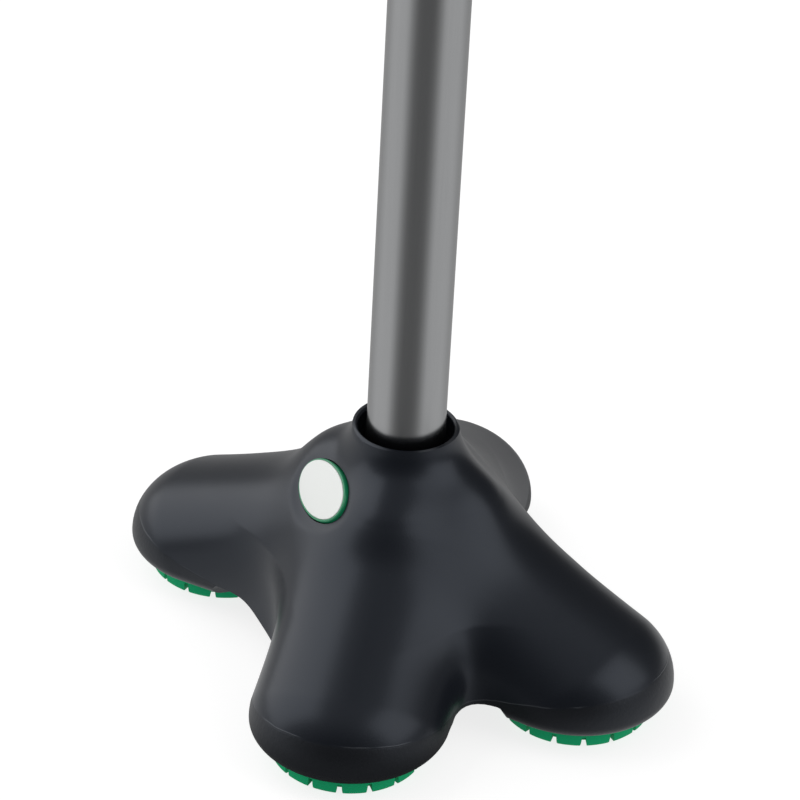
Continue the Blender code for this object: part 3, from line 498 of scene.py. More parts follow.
class Finishes:
    """Every finish of the cane."""

    BOOT: ClassVar = BootRubber(
        "soft_touch_rubber", "boot_rubber", (0.0065, 0.0080, 0.0115), 0.31,
        specular=0.40, tint=(0.80, 0.87, 1.0), grain_size=0.00045, grain_depth=0.000012,
    )
    GRIP: ClassVar = Finish(
        "grip_rubber", "grip_rubber", (0.026, 0.028, 0.031), 0.62,
        specular=0.30, grain_depth=0.000012,
    )
    TREAD: ClassVar = TreadRubber(
        "tread_rubber", "green_rubber", (0.0015, 0.340, 0.135), 0.60,
        specular=0.12, grain_size=0.0006, grain_depth=0.00002,
    )
    PUCK: ClassVar = Finish(
        "puck_plastic", "green_plastic", (0.0052, 0.225, 0.094), 0.32, coat=0.2, drift=0.03
    )
    FACE: ClassVar = Finish(
        "badge_plastic", "white_plastic", (0.78, 0.80, 0.78), 0.35, coat=0.3, drift=0.02
    )
    PLATE: ClassVar = Finish("plate_plastic", "grey_plastic", (0.040, 0.038, 0.038), 0.50)
    NYLON: ClassVar = Finish(
        "black_nylon", "nylon", (0.018, 0.018, 0.020), 0.46,
        specular=0.4, grain_size=0.0005, grain_depth=0.00002,
    )
    TUBE: ClassVar = DrawnMetal(
        "satin_tube", "aluminium", (0.325, 0.33, 0.335), 0.22, metallic=1.0, drift=0.04
    )
    ZINC: ClassVar = Finish(
        "zinc_plate", "zinc", (0.56, 0.57, 0.58), 0.30,
        metallic=1.0, drift=0.10, drift_size=0.004, rough_drift=0.10,
    )
    SPRING: ClassVar = Finish(
        "spring_steel", "spring_steel", (0.28, 0.28, 0.29), 0.32, metallic=1.0
    )


class Recipe(Nodes):
    """A Geometry Nodes tree with named inputs, used once and then taken away."""

    KINDS: ClassVar = {float: "Float", int: "Int", tuple: "Vector", bpy.types.Object: "Object"}

    def __init__(self, name: str, sizes: Mapping[str, Any]) -> None:
        """Start a tree.

        Args:
            name: The tree's name.
            sizes: Its inputs, by name: a number, a whole number, a vector or an object.
        """
        super().__init__(bpy.data.node_groups.new(name, "GeometryNodeTree"))
        self.sizes = dict(sizes)
        self.keys = {"Geometry": self.socket("Geometry", "Geometry")}
        for label, value in self.sizes.items():
            self.keys[label] = self.socket(label, self.KINDS[type(value)])
        self.keys["Material"] = self.socket("Material", "Material")
        self.socket("Geometry", "Geometry", "OUTPUT")
        self.start = self.node("NodeGroupInput")

    def socket(self, label: str, kind: str, way: str = "INPUT") -> str:
        """Add an input or output to the tree and return its identifier."""
        kind = f"NodeSocket{kind}"
        return self.tree.interface.new_socket(label, in_out=way, socket_type=kind).identifier

    def given(self, label: str) -> Signal:
        """Return one of the tree's inputs."""
        return self.start.other(label)

    def position(self) -> Signal:
        """Return each point's position."""
        return self.node("GeometryNodeInputPosition")

    def move(self, shape: Signal, place: Signal) -> Signal:
        """Return a shape with its points put at a place."""
        return self.node("GeometryNodeSetPosition", values={"Geometry": shape, "Position": place})

    def row(self, item: Signal, count: Operand, start: Signal, step: Signal) -> Signal:
        """Place copies of an item along a line.

        Args:
            item: What is copied.
            count: How many copies there are.
            start: Place of the first one.
            step: From one to the next.

        Returns:
            The copies, as instances.
        """
        values = {"Count": count, "Start Location": start, "Offset": step}
        values = {"Points": self.node("GeometryNodeMeshLine", values=values), "Instance": item}
        return self.node("GeometryNodeInstanceOnPoints", values=values)

    def spokes(self, item: Signal, count: Signal, turn: Operand) -> Signal:
        """Place copies of an item, turned evenly about Z.

        Args:
            item: What is copied.
            count: How many copies there are.
            turn: Angle of the first one, in radians.

        Returns:
            The copies, as instances.
        """
        values = {"Count": count, "Offset": (0.0, 0.0, 0.0)}
        points = self.node("GeometryNodeMeshLine", values=values)
        angle = self.node("GeometryNodeInputIndex") / count * (2.0 * math.pi) + turn
        values = {"Euler": self.vector(0.0, 0.0, angle)}
        rotation = self.node("FunctionNodeEulerToRotation", values=values)
        values = {"Points": points, "Instance": item, "Rotation": rotation}
        return self.node("GeometryNodeInstanceOnPoints", values=values)

    def apply(
        self, piece: bpy.types.Object, shape: Signal, finish: Finish | None = None
    ) -> bpy.types.Object:
        """Close the tree on its result and turn a piece into it.

        Args:
            piece: The piece that carries the tree, and then its result as a plain mesh.
            shape: The tree's result.
            finish: What it is dressed in, or nothing for a cutter.

        Returns:
            The piece.
        """
        real = self.node("GeometryNodeRealizeInstances", values={"Geometry": shape})
        values = {"Geometry": real, "Material": self.given("Material")}
        dressed = self.node("GeometryNodeSetMaterial", values=values)
        self.node("NodeGroupOutput", values={0: dressed})
        modifier = piece.modifiers.new(self.tree.name, "NODES")
        modifier.node_group = self.tree
        for label, value in self.sizes.items():
            modifier[self.keys[label]] = value
        if finish is not None:
            modifier[self.keys["Material"]] = finish.material()
        settle(piece)
        bpy.data.node_groups.remove(self.tree)
        return piece

    def cutter(self, shape: Signal) -> bpy.types.Object:
        """Return the tree's result as a cutter, which stands alone."""
        return self.apply(link("cutter", bpy.data.meshes.new("cutter")), shape)


def wave(angle: float) -> tuple[float, float]:
    """Return an angle's cosine and sine."""
    return math.cos(angle), math.sin(angle)


def link(name: str, mesh: bpy.types.Mesh) -> bpy.types.Object:
    """Put a new object of a mesh into the scene.

    Args:
        name: The object's name.
        mesh: Its mesh.

    Returns:
        The object.
    """
    made = bpy.data.objects.new(name, mesh)
    bpy.context.scene.collection.objects.link(made)
    return made


def settle(piece: bpy.types.Object) -> bpy.types.Object:
    """Turn a piece's modifiers into its plain mesh and remove them.

    Args:
        piece: The piece.

    Returns:
        The same piece.
    """
    bpy.context.view_layer.update()
    evaluated = piece.evaluated_get(bpy.context.evaluated_depsgraph_get())
    mesh = bpy.data.meshes.new_from_object(evaluated)
    piece.modifiers.clear()
    piece.data = mesh
    return piece


def solid(name: str, shape: bmesh.types.BMesh, place: Matrix | None = None) -> bpy.types.Object:
    """Make an object of a bmesh, with its faces outwards and its place in its mesh.

    Args:
        name: The object's name.
        shape: The bmesh, which is freed.
        place: Where its mesh is put.

    Returns:
        The object, at the origin.
    """
    bmesh.ops.recalc_face_normals(shape, faces=shape.faces)
    mesh = bpy.data.meshes.new(name)
    shape.to_mesh(mesh)
    shape.free()
    if place is not None:
        mesh.transform(place)
    return link(name, mesh)


def carve(piece: bpy.types.Object, cutters: Iterable[bpy.types.Object]) -> bpy.types.Object:
    """Cut cutters out of a piece and remove them.

    Args:
        piece: The piece that is cut.
        cutters: Closed shapes, which may overlap each other.

    Returns:
        The piece, as a plain mesh.
    """
    group = bpy.data.collections.new("cutters")
    for cutter in cutters:
        group.objects.link(cutter)
    boolean = piece.modifiers.new("Carve", "BOOLEAN")
    boolean.operation = "DIFFERENCE"
    boolean.solver = "EXACT"
    boolean.operand_type = "COLLECTION"
    boolean.collection = group
    settle(piece)
    for cutter in list(group.objects):
        bpy.data.objects.remove(cutter, do_unlink=True)
    bpy.data.collections.remove(group)
    return piece


def walls(shape: bmesh.types.BMesh, loops: Sequence[Sequence[bmesh.types.BMVert]]) -> None:
    """Join each loop of vertices to the next one. A loop may be a single point.

    Args:
        shape: The bmesh that they lie in.
        loops: The loops.
    """
    for lower, upper in zip(loops, loops[1:]):
        for index in range(max(len(lower), len(upper))):
            corners = [lower[(index + ahead) % len(lower)] for ahead in (0, 1)]
            corners += [upper[(index + ahead) % len(upper)] for ahead in (1, 0)]
            shape.faces.new(dict.fromkeys(corners))


def lump(name: str, rows: Iterable[Iterable[Sequence[float]]]) -> bpy.types.Object:
    """Make a closed object whose skin runs over rows of points and is capped at both ends.

    Args:
        name: The object's name.
        rows: The points of each row, as many in each, from the bottom up.

    Returns:
        The object.
    """
    shape = bmesh.new()
    loops = [[shape.verts.new(point) for point in row] for row in rows]
    walls(shape, loops)
    shape.faces.new(loops[0][::-1])
    shape.faces.new(loops[-1])
    return solid(name, shape)


def rounded(corners: Sequence[Corner], closed: bool) -> list[tuple[float, float]]:
    """Round the corners of a section.

    Args:
        corners: Radius, height and, where it has one, fillet of each corner.
        closed: Whether the last corner joins the first.

    Returns:
        The section's points, as (radius, height).
    """
    points: list[tuple[float, float]] = []
    count = len(corners)
    for index, (radius, height, *fillet) in enumerate(corners):
        if not fillet or (not closed and index in (0, count - 1)):
            points.append((radius, height))
            continue
        here = Vector((radius, height))
        before = Vector(corners[index - 1][:2]) - here
        after = Vector(corners[(index + 1) % count][:2]) - here
        half = 0.5 * before.angle(after)
        longest = FILLET_SHARE * before.length, FILLET_SHARE * after.length
        reach = min(fillet[0] / math.tan(half), *longest)
        true = reach * math.tan(half)
        inwards = (before.normalized() + after.normalized()).normalized()
        middle = here + inwards * (true / math.sin(half))
        first = here + before.normalized() * reach - middle
        sweep = math.pi - 2.0 * half
        side = math.copysign(1.0, before.x * after.y - before.y * after.x)
        steps = max(2, math.ceil(sweep / FILLET_STEP))
        for step in range(steps + 1):
            cos, sin = wave(-side * sweep * step / steps)
            now = Vector((first.x * cos - first.y * sin, first.x * sin + first.y * cos))
            points.append(tuple(middle + now))
    return points


def stacked(
    name: str,
    rows: Sequence[Point],
    steps: int = ROUND,
    place: Matrix | None = None,
    closed: bool = False,
) -> bpy.types.Object:
    """Skin a stack of level ovals.

    Args:
        name: The object's name.
        rows: Half length, half width and height of each oval. One without length is a point.
        steps: Faces round it.
        place: Where its mesh is put.
        closed: Whether the last oval joins the first one, instead of both being capped.

    Returns:
        The object.
    """
    waves = [wave(2.0 * math.pi * step / steps) for step in range(steps)]
    shape = bmesh.new()
    loops = []
    for long, wide, height in rows:
        spots = [(long * cos, wide * sin, height) for cos, sin in waves]
        if long < NO_LENGTH:
            spots = [(0.0, 0.0, height)]
        loops.append([shape.verts.new(spot) for spot in spots])
    walls(shape, loops + loops[:1] if closed else loops)
    for loop in [] if closed else [loops[0], loops[-1]]:
        if len(loop) > 1:
            shape.faces.new(loop)
    return solid(name, shape, place)


def turned(
    name: str, corners: Sequence[Corner], steps: int = ROUND, place: Matrix | None = None
) -> bpy.types.Object:
    """Turn a section about Z.

    Args:
        name: The object's name.
        corners: Radius, height and fillet of each corner: a closed ring where no radius is zero,
            and a solid where the first and last corners lie on the axis.
        steps: Faces round it.
        place: Where its mesh is put.

    Returns:
        The object.
    """
    closed = corners[0][0] > 0.0
    rows = [(radius, radius, height) for radius, height in rounded(corners, closed)]
    return stacked(name, rows, steps, place, closed)


def facing(point: Sequence[float], direction: Sequence[float]) -> Matrix:
    """Return the matrix that takes local +Z to a direction, at a point."""
    turn = Vector(direction).to_track_quat("Z", "Y").to_matrix().to_4x4()
    return Matrix.Translation(Vector(point)) @ turn


def dress(piece: bpy.types.Object, finish: Finish, node: str, corner: float = 30.0) -> None:
    """Shade a piece, put its finish on and let it stand for a node.

    Args:
        piece: The finished piece.
        finish: What it is dressed in.
        node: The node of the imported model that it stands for.
        corner: Angle in degrees from which an edge stays sharp.
    """
    piece.data.shade_smooth()
    piece.data.set_sharp_from_angle(angle=math.radians(corner))
    piece.data.materials.clear()
    piece.data.materials.append(finish.material())
    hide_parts(node)
    LOG.info("%s stands for %s: %d faces", piece.name, node, len(piece.data.polygons))


def hand_over(
    piece: bpy.types.Object, finish: Finish, body: Body, node: str, corner: float = 30.0
) -> None:
    """Dress a piece and let it ride on its body."""
    dress(piece, finish, node, corner)
    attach(piece, body.value)


@dataclass(frozen=True)
class BootForm:
    """The outer form of the rubber foot: a flared neck that melts into four round feet."""

    reach_x: float = 0.0425
    reach_y: float = 0.0294
    foot_radius: float = 0.0234
    foot_height: float = 0.0088
    foot_squash: float = 0.73
    arm_radius: float = 0.0196
    arm_height: float = 0.0281
    arm_start: float = 0.23
    shoulder_radius: float = 0.0100
    shoulder_root: float = 0.0069
    shoulder_height: float = 0.0392
    shoulder_share: float = 0.32
    girth: float = 0.0088
    lip: float = 0.0049
    lip_inset: float = 0.0045
    lip_power: float = 1.85
    top: float = 0.0594
    top_radius: float = 0.0124
    skirt_long: float = 0.0424
    skirt_wide: float = 0.0353
    flare: float = 1.59
    softness: tuple[float, float, float] = (0.0042, 0.0058, 0.0043)
    soft_top: float = 0.0460
    badge_length: float = 0.0112
    badge_width: float = 0.0066
    badge_drop: float = 0.0149
    badge_tilt: float = math.radians(37.4)
    seat_share: float = 3.0
    seat_width: float = 0.0016
    seat_height: float = 0.003
    outline_steps: int = 2880

    def centre(self, foot: Foot) -> tuple[float, float]:
        """Return the plan position of a foot's centre."""
        return foot.side[0] * self.reach_x, foot.side[1] * self.reach_y

    def under(self, foot: Foot) -> Matrix:
        """Return the matrix that takes the shaft's axis to the foot's own."""
        return Matrix.Translation((*self.centre(foot), 0.0))

    @staticmethod
    def bar(
        points: np.ndarray,
        start: np.ndarray,
        end: np.ndarray,
        radii: tuple[float, float],
        squash: float = 1.0,
    ) -> np.ndarray:
        """Work out the rough distance from points to a tapered round bar.

        Args:
            points: The points.
            start: Its first end.
            end: Its other end.
            radii: Its radius at each of them.
            squash: Its height over its width.

        Returns:
            The distances, below zero inside.
        """
        stretch = np.array([1.0, 1.0, 1.0 / squash])
        along = (end - start) * stretch
        offset = (points - start) * stretch
        share = np.clip(offset @ along / (along @ along), 0.0, 1.0)
        nearest = np.linalg.norm(offset - share[..., None] * along, axis=-1)
        return nearest - (radii[0] + (radii[1] - radii[0]) * share)

    def leg(self, points: np.ndarray, foot: Foot) -> list[np.ndarray]:
        """Work out the rough distances from points to a leg.

        Args:
            points: The points.
            foot: The foot that the leg ends in.

        Returns:
            The distances to its arm, which ends in the foot, and to its shoulder.
        """
        x, y = self.centre(foot)
        end = np.array([x, y, self.foot_height])
        root = np.array([x * self.arm_start, y * self.arm_start, self.arm_height])
        share = self.shoulder_share
        crest = np.array([x * share, y * share, self.shoulder_height])
        arm = self.bar(points, root, end, (self.arm_radius, self.foot_radius), self.foot_squash)
        return [arm, self.bar(points, crest, root, (self.shoulder_radius, self.shoulder_root))]

    def neck(self, points: np.ndarray) -> np.ndarray:
        """Work out the rough distance from points to the neck, which flares into an oval.

        Args:
            points: The points.

        Returns:
            The distances, below zero inside.
        """
        tall = self.top - self.girth
        depth = np.maximum((self.top - points[..., 2]) / tall, SMALLEST)
        along = self.skirt_long - self.top_radius
        across = self.skirt_wide - self.top_radius
        long = self.top_radius + along * depth**self.flare
        wide = self.top_radius + across * depth**self.flare
        reach = np.maximum(np.hypot(points[..., 0], points[..., 1]), GAP)
        radius = reach / np.hypot(points[..., 0] / long, points[..., 1] / wide)
        lengthwise = (points[..., 0] / reach) ** 2
        flare = along * lengthwise + across * (1.0 - lengthwise)
        slope = flare * self.flare * depth ** (self.flare - 1.0) / tall
        return (reach - radius) / np.sqrt(1.0 + slope**2)

    def melted(self, points: np.ndarray) -> np.ndarray:
        """Work out the rough distance from points to the neck and legs, melted together.

        Args:
            points: The points.

        Returns:
            The distances, below zero inside.
        """
        parts = [self.neck(points)]
        for foot in Foot:
            parts += self.leg(points, foot)
        parts = np.stack(parts)
        nearest = parts.min(axis=0)
        levels = (self.girth, 0.5 * (self.girth + self.soft_top), self.soft_top)
        softness = np.interp(points[..., 2], levels, self.softness)
        spread = np.exp((nearest - parts) / softness).sum(axis=0)
        return nearest - softness * np.log(spread)

    def seat(self, points: np.ndarray, badge: Matrix) -> np.ndarray:
        """Work out how far points near the badge are held down to its level.

        Args:
            points: The points.
            badge: Frame of the badge.

        Returns:
            What is added to their distances.
        """
        inverse = np.array(badge.inverted())
        local = points @ inverse[:3, :3].T + inverse[:3, 3]
        across = local[..., :2] / np.array([self.badge_length, self.badge_width])
        reach = np.maximum(np.hypot(across[..., 0], across[..., 1]), SMALLEST)
        away = np.hypot(local[..., 0], local[..., 1]) * (1.0 - 1.0 / reach)
        near = np.exp(-(np.maximum(away, 0.0) ** 2) / self.seat_width**2)
        return self.seat_share * near * np.clip(local[..., 2], 0.0, self.seat_height)

    def skin(
        self, azimuths: np.ndarray, elevation: float, badge: Matrix | None = None
    ) -> np.ndarray:
        """Find the points where rays from the boot's middle leave it.

        Args:
            azimuths: Azimuth of each ray.
            elevation: Elevation of all of them.
            badge: Frame of the badge, for the flat seat round it.

        Returns:
            One point for each ray.
        """
        level = math.cos(elevation)
        climb = np.full_like(azimuths, math.sin(elevation))
        rays = np.stack([np.cos(azimuths) * level, np.sin(azimuths) * level, climb], axis=-1)
        middle = np.array([0.0, 0.0, self.girth])
        inner = np.full_like(azimuths, 0.5 * self.top_radius)
        outer = np.full_like(azimuths, 2.0 * (self.reach_x + self.reach_y))
        for _ in range(HALVINGS):
            half = 0.5 * (inner + outer)
            points = middle + rays * half[:, None]
            distance = self.melted(points)
            if badge is not None:
                distance = distance + self.seat(points, badge)
            inner = np.where(distance < 0.0, half, inner)
            outer = np.where(distance < 0.0, outer, half)
        return middle + rays * (0.5 * (inner + outer))[:, None]

    def badge_frame(self) -> Matrix:
        """Find the frame of the badge.

        Returns:
            The frame, with its origin on the neck and its +Z out of the badge's face.
        """
        azimuth = np.array([-math.pi / 2.0])
        low, high = 0.0, math.pi / 2.0
        for _ in range(HALVINGS):
            elevation = 0.5 * (low + high)
            point = self.skin(azimuth, elevation)[0]
            if point[2] < self.top - self.badge_drop:
                low = elevation
            else:
                high = elevation
        return facing(point, (0.0, -math.cos(self.badge_tilt), math.sin(self.badge_tilt)))

    def azimuths(self, columns: int) -> np.ndarray:
        """Space columns evenly along the boot's widest outline.

        Args:
            columns: How many there are.

        Returns:
            Their azimuths.
        """
        fine = np.linspace(0.0, 2.0 * math.pi, self.outline_steps + 1)
        steps = np.linalg.norm(np.diff(self.skin(fine, 0.0), axis=0), axis=1)
        run = np.concatenate([[0.0], np.cumsum(steps)])
        return np.interp(np.linspace(0.0, run[-1], columns + 1), run, fine)[:-1]


@dataclass
class FootBoot:
    """The rubber boot with its mouth, badge recess, soles and hollows."""

    form: BootForm = field(default_factory=BootForm)
    columns: int = 320
    rows: int = 128
    crowding: float = 1.25  # of the rows towards the girth
    sole_rows: int = 14
    arc_steps: int = 40
    mouth_radius: float = 0.01155
    mouth_depth: float = 0.0094
    rim: float = 0.0006
    rim_share: float = 0.8  # of the rim, that its slope goes down
    hub_radius: float = 0.0130
    arm_bottom: float = 0.0100
    arm_thickness: float = 0.0050
    arm_width: float = 0.0090
    pad_radius: float = 0.0100
    pocket_radius: float = 0.0098
    spigot_radius: float = 0.0090
    sole_radius: float = 0.0192
    arch_height: float = 0.0092
    arch_radius: float = 0.0240
    arch_rows: int = 16
    arch_steps: int = 30
    badge_floor: float = -0.0024
    badge_clear: float = 0.008

    def shell(self) -> bpy.types.Object:
        """Make the boot's outside, from its lip up to its mouth, as a closed lump.

        Returns:
            The lump.
        """
        form = self.form
        azimuths = form.azimuths(self.columns)
        badge = form.badge_frame()
        outline = form.skin(azimuths, 0.0)
        along = np.roll(outline, -1, axis=0) - np.roll(outline, 1, axis=0)
        outward = np.stack([along[:, 1], -along[:, 0], np.zeros(len(along))], axis=-1)
        outward /= np.linalg.norm(outward, axis=1)[:, None]
        rows = []
        power = 2.0 / form.lip_power
        for step in range(self.sole_rows, 0, -1):
            cos, sin = wave(0.5 * math.pi * step / self.sole_rows)
            inset = form.lip_inset * (1.0 - cos**power)
            drop = (form.girth - form.lip) * sin**power
            rows.append(outline - outward * inset - [0.0, 0.0, drop])
        last = math.atan2(form.top - form.girth, form.top_radius + self.rim)
        for step in range(self.rows + 1):
            elevation = last * (step / self.rows) ** self.crowding
            rows.append(form.skin(azimuths, elevation, badge))
        skin = rows[-1]
        ring = np.stack([np.cos(azimuths), np.sin(azimuths), np.zeros_like(azimuths)], axis=-1)
        corner = ring * form.top_radius + [0.0, 0.0, form.top]
        flat = ring * (form.top_radius - 0.5 * self.rim) + [0.0, 0.0, form.top]
        for share in (0.25, 0.5, 0.75, 1.0):
            rest = 1.0 - share
            rows.append(skin * rest**2 + corner * 2.0 * share * rest + flat * share**2)
        return lump("rubber_boot", rows)

    def mouth(self) -> bpy.types.Object:
        """Make the cutter of the mouth, the room of the core's hub and the screw's pocket.

        Returns:
            The cutter.
        """
        top, hub = self.form.top, self.hub_radius + GAP
        floor = top - self.mouth_depth + GAP
        ceiling, bottom = self.arm_bottom - GAP, self.form.lip - MARGIN
        corners = [
            (0.0, top + MARGIN),
            (self.mouth_radius + MARGIN, top + MARGIN),
            (self.mouth_radius + self.rim, top),
            (self.mouth_radius, top - self.rim_share * self.rim, WORN),
            (self.mouth_radius, floor),
            (hub, floor),
            (hub, ceiling),
            (self.pocket_radius, ceiling),
            (self.pocket_radius, bottom),
            (0.0, bottom),
        ]
        return turned("mouth_cutter", corners)

    def arm_room(self, foot: Foot) -> bpy.types.Object:
        """Make the cutter of the room for one arm of the core.

        Args:
            foot: The foot that the arm reaches into.

        Returns:
            The cutter.
        """
        centre = Vector(self.form.centre(foot))
        ahead = centre.normalized()
        aside = Vector((-ahead.y, ahead.x))
        radius = self.pad_radius + GAP
        half = self.arm_width / 2.0 + GAP
        start = ahead * (0.5 * (self.hub_radius + self.pocket_radius))
        opening = math.asin(half / radius)
        outline = [start - aside * half]
        for step in range(self.arc_steps + 1):
            cos, sin = wave(opening - math.pi + 2.0 * (math.pi - opening) * step / self.arc_steps)
            outline.append(centre + radius * (ahead * cos + aside * sin))
        outline.append(start + aside * half)
        heights = (self.arm_bottom - GAP, self.arm_bottom + self.arm_thickness + GAP)
        return lump("arm_cutter", [[(*spot, height) for spot in outline] for height in heights])

    def arch(self) -> bpy.types.Object:
        """Make the cutter of the hollow between the feet, whose sides rise in a soft S.

        Returns:
            The cutter.
        """
        bottom = self.form.lip - MARGIN
        run = self.arch_radius - self.sole_radius
        rows = []
        for step in range(self.arch_rows + 1):
            share = step / self.arch_rows
            height = bottom + (self.arch_height - bottom) * share * share * (3.0 - 2.0 * share)
            outline = self.arch_outline(self.sole_radius + run * share)
            rows.append([(*spot, height) for spot in outline])
        return lump("arch_cutter", rows)

    def arch_outline(self, radius: float) -> list[tuple[float, float]]:
        """Draw round all that lies inside a circle round each foot.

        Args:
            radius: The circle's radius.

        Returns:
            The outline.
        """
        beyond = 2.0 * (self.form.reach_x + self.form.reach_y)
        order = (Foot.FRONT_LEFT, Foot.REAR_LEFT, Foot.REAR_RIGHT, Foot.FRONT_RIGHT)
        outline: list[tuple[float, float]] = []
        for place, foot in enumerate(order):
            side_x, side_y = foot.side
            x, y = self.form.centre(foot)
            along = [(side_x * beyond, y - side_y * radius)]
            for step in range(self.arch_steps + 1):
                cos, sin = wave(0.5 * math.pi * step / self.arch_steps)
                along.append((x - side_x * radius * sin, y - side_y * radius * cos))
            along.append((x - side_x * radius, side_y * beyond))
            outline += along if place % 2 == 0 else along[::-1]
        return outline

    def build(self) -> None:
        """Build the boot and hand it over."""
        form = self.form
        cutters = [self.mouth(), self.arch()]
        radius, top, bottom = self.spigot_radius + GAP, self.arm_bottom, form.lip - MARGIN
        spigot = [(0.0, top), (radius, top), (radius, bottom), (0.0, bottom)]
        for foot in Foot:
            cutters.append(self.arm_room(foot))
            cutters.append(turned("spigot_cutter", spigot, DRILL_ROUND, form.under(foot)))
        half = (form.badge_length + GAP, form.badge_width + GAP)
        recess = [(*half, self.badge_floor), (*half, self.badge_clear)]
        cutters.append(stacked("badge_cutter", recess, LARGE_ROUND, form.badge_frame()))
        boot = carve(self.shell(), cutters)
        hand_over(boot, Finishes.BOOT, Body.FOOT, "foot_boot", corner=35.0)


@dataclass
class Treads:
    """The green pads under the feet, each on its grey plate."""

    form: BootForm = field(default_factory=BootForm)
    radius: float = 0.0182
    thickness: float = 0.0034
    chamfer: float = 0.0006
    lugs: int = 16
    notch_width: float = 0.0010
    notch_length: float = 0.0030
    notch_flare: float = 0.0004
    notch_rows: int = 9
    depth: float = 0.0028
    ring_radius: float = 0.0112
    ring_width: float = 0.0014
    plate_radius: float = 0.0186
    spigot_radius: float = 0.0090
    spigot_top: float = 0.0097
    around: int = 192

    def notch_cutter(self, turn: float) -> bpy.types.Object:
        """Make the cutter of the notches that part the pad's edge into lugs.

        Args:
            turn: How the pad is turned, in radians.

        Returns:
            The cutter, on the pad's own axis.
        """
        sizes = {
            "Size": (self.notch_length + MARGIN, self.notch_width, 2.0 * self.depth),
            "Rows": self.notch_rows,
            "Reach": self.radius - 0.5 * (self.notch_length - MARGIN),
            "Half height": self.depth,
            "Flare": self.notch_flare,
            "Count": self.lugs,
            "Turn": turn,
        }
        recipe = Recipe("notches", sizes)
        given = recipe.given
        values = {"Size": given("Size"), "Vertices Z": given("Rows")}
        bar = recipe.node("GeometryNodeMeshCube", values=values)
        x, y, z = recipe.parts(recipe.position())
        low = 1.0 - abs(z) / given("Half height")
        wide = y + y.maths("SIGN") * given("Flare") * low * low
        bar = recipe.move(bar, recipe.vector(x + given("Reach"), wide, z))
        return recipe.cutter(recipe.spokes(bar, given("Count"), given("Turn")))

    def build(self) -> None:
        """Build the pads and plates and hand them over."""
        pad = [
            (0.0, self.thickness),
            (self.radius, self.thickness, FINE),
            (self.radius, self.chamfer, SOFT),
            (self.radius - self.chamfer, 0.0, SOFT),
            (0.0, 0.0),
        ]
        inner = self.ring_radius - self.ring_width
        groove = [
            (self.ring_radius, self.depth, EASED),
            (self.ring_radius, -MARGIN),
            (inner, -MARGIN),
            (inner, self.depth, EASED),
        ]
        seat, top = self.thickness + GAP, self.form.lip - GAP
        plate = [
            (0.0, self.spigot_top),
            (self.spigot_radius, self.spigot_top, EASED),
            (self.spigot_radius, top),
            (self.plate_radius, top, FINE),
            (self.plate_radius, seat, FINE),
            (0.0, seat),
        ]
        for foot in Foot:
            place = self.form.under(foot)
            tread = turned(f"green_tread_{foot.label}", pad, self.around, place)
            notches = self.notch_cutter(foot.turn)
            notches.data.transform(place)
            carve(tread, [notches, turned("groove_cutter", groove, place=place)])
            hand_over(tread, Finishes.TREAD, Body.FOOT, f"tread_{foot.label}")
            made = turned(f"grey_plate_{foot.label}", plate, LARGE_ROUND, place)
            hand_over(made, Finishes.PLATE, Body.FOOT, f"tread_plate_{foot.label}")


@dataclass
class Badge:
    """The oval green puck in the neck's recess, with its bare face."""

    form: BootForm = field(default_factory=BootForm)
    thickness: float = 0.0030
    proud: float = 0.0009
    edge: float = 0.0004
    edge_steps: int = 6
    face_inset: float = 0.0006
    face_thickness: float = 0.0005
    face_proud: float = 0.0002
    crown: float = 0.0002
    crown_steps: int = 8
    steps: int = 160

    def oval(self, growth: float, height: float, share: float = 1.0) -> Point:
        """Work out one oval of the puck or the face.

        Args:
            growth: How far it lies outside the puck's outline.
            height: Its height over the neck's skin.
            share: Its size over the outline's, for the rows of a crown.

        Returns:
            Its half length, half width and height.
        """
        long, wide = self.form.badge_length + growth, self.form.badge_width + growth
        return long * share, wide * share, height

    def build(self) -> None:
        """Build the puck and its face and hand them over."""
        place = self.form.badge_frame()
        seat = self.proud + self.face_proud - self.face_thickness - GAP
        rim = 0.5 * GAP - self.face_inset
        puck = [self.oval(0.0, self.proud - self.thickness)]
        for step in range(self.edge_steps + 1):
            cos, sin = wave(0.5 * math.pi * step / self.edge_steps)
            height = self.proud - self.edge + self.edge * sin
            puck.append(self.oval(self.edge * (cos - 1.0), height))
        puck += [self.oval(rim - HAIR, self.proud), self.oval(rim, self.proud - HAIR)]
        puck.append(self.oval(rim, seat))
        made = stacked("green_puck", puck, self.steps, place)
        hand_over(made, Finishes.PUCK, Body.FOOT, "badge_puck")
        base = seat + GAP
        top = base + self.face_thickness
        face = [self.oval(-self.face_inset, base), self.oval(-self.face_inset, top - HAIR)]
        for step in range(self.crown_steps + 1):
            share = 1.0 - step / self.crown_steps
            height = top + self.crown * (1.0 - share**2)
            face.append(self.oval(-self.face_inset - HAIR, height, share))
        made = stacked("badge_disc", face, self.steps, place)
        hand_over(made, Finishes.FACE, Body.FOOT, "badge_face")


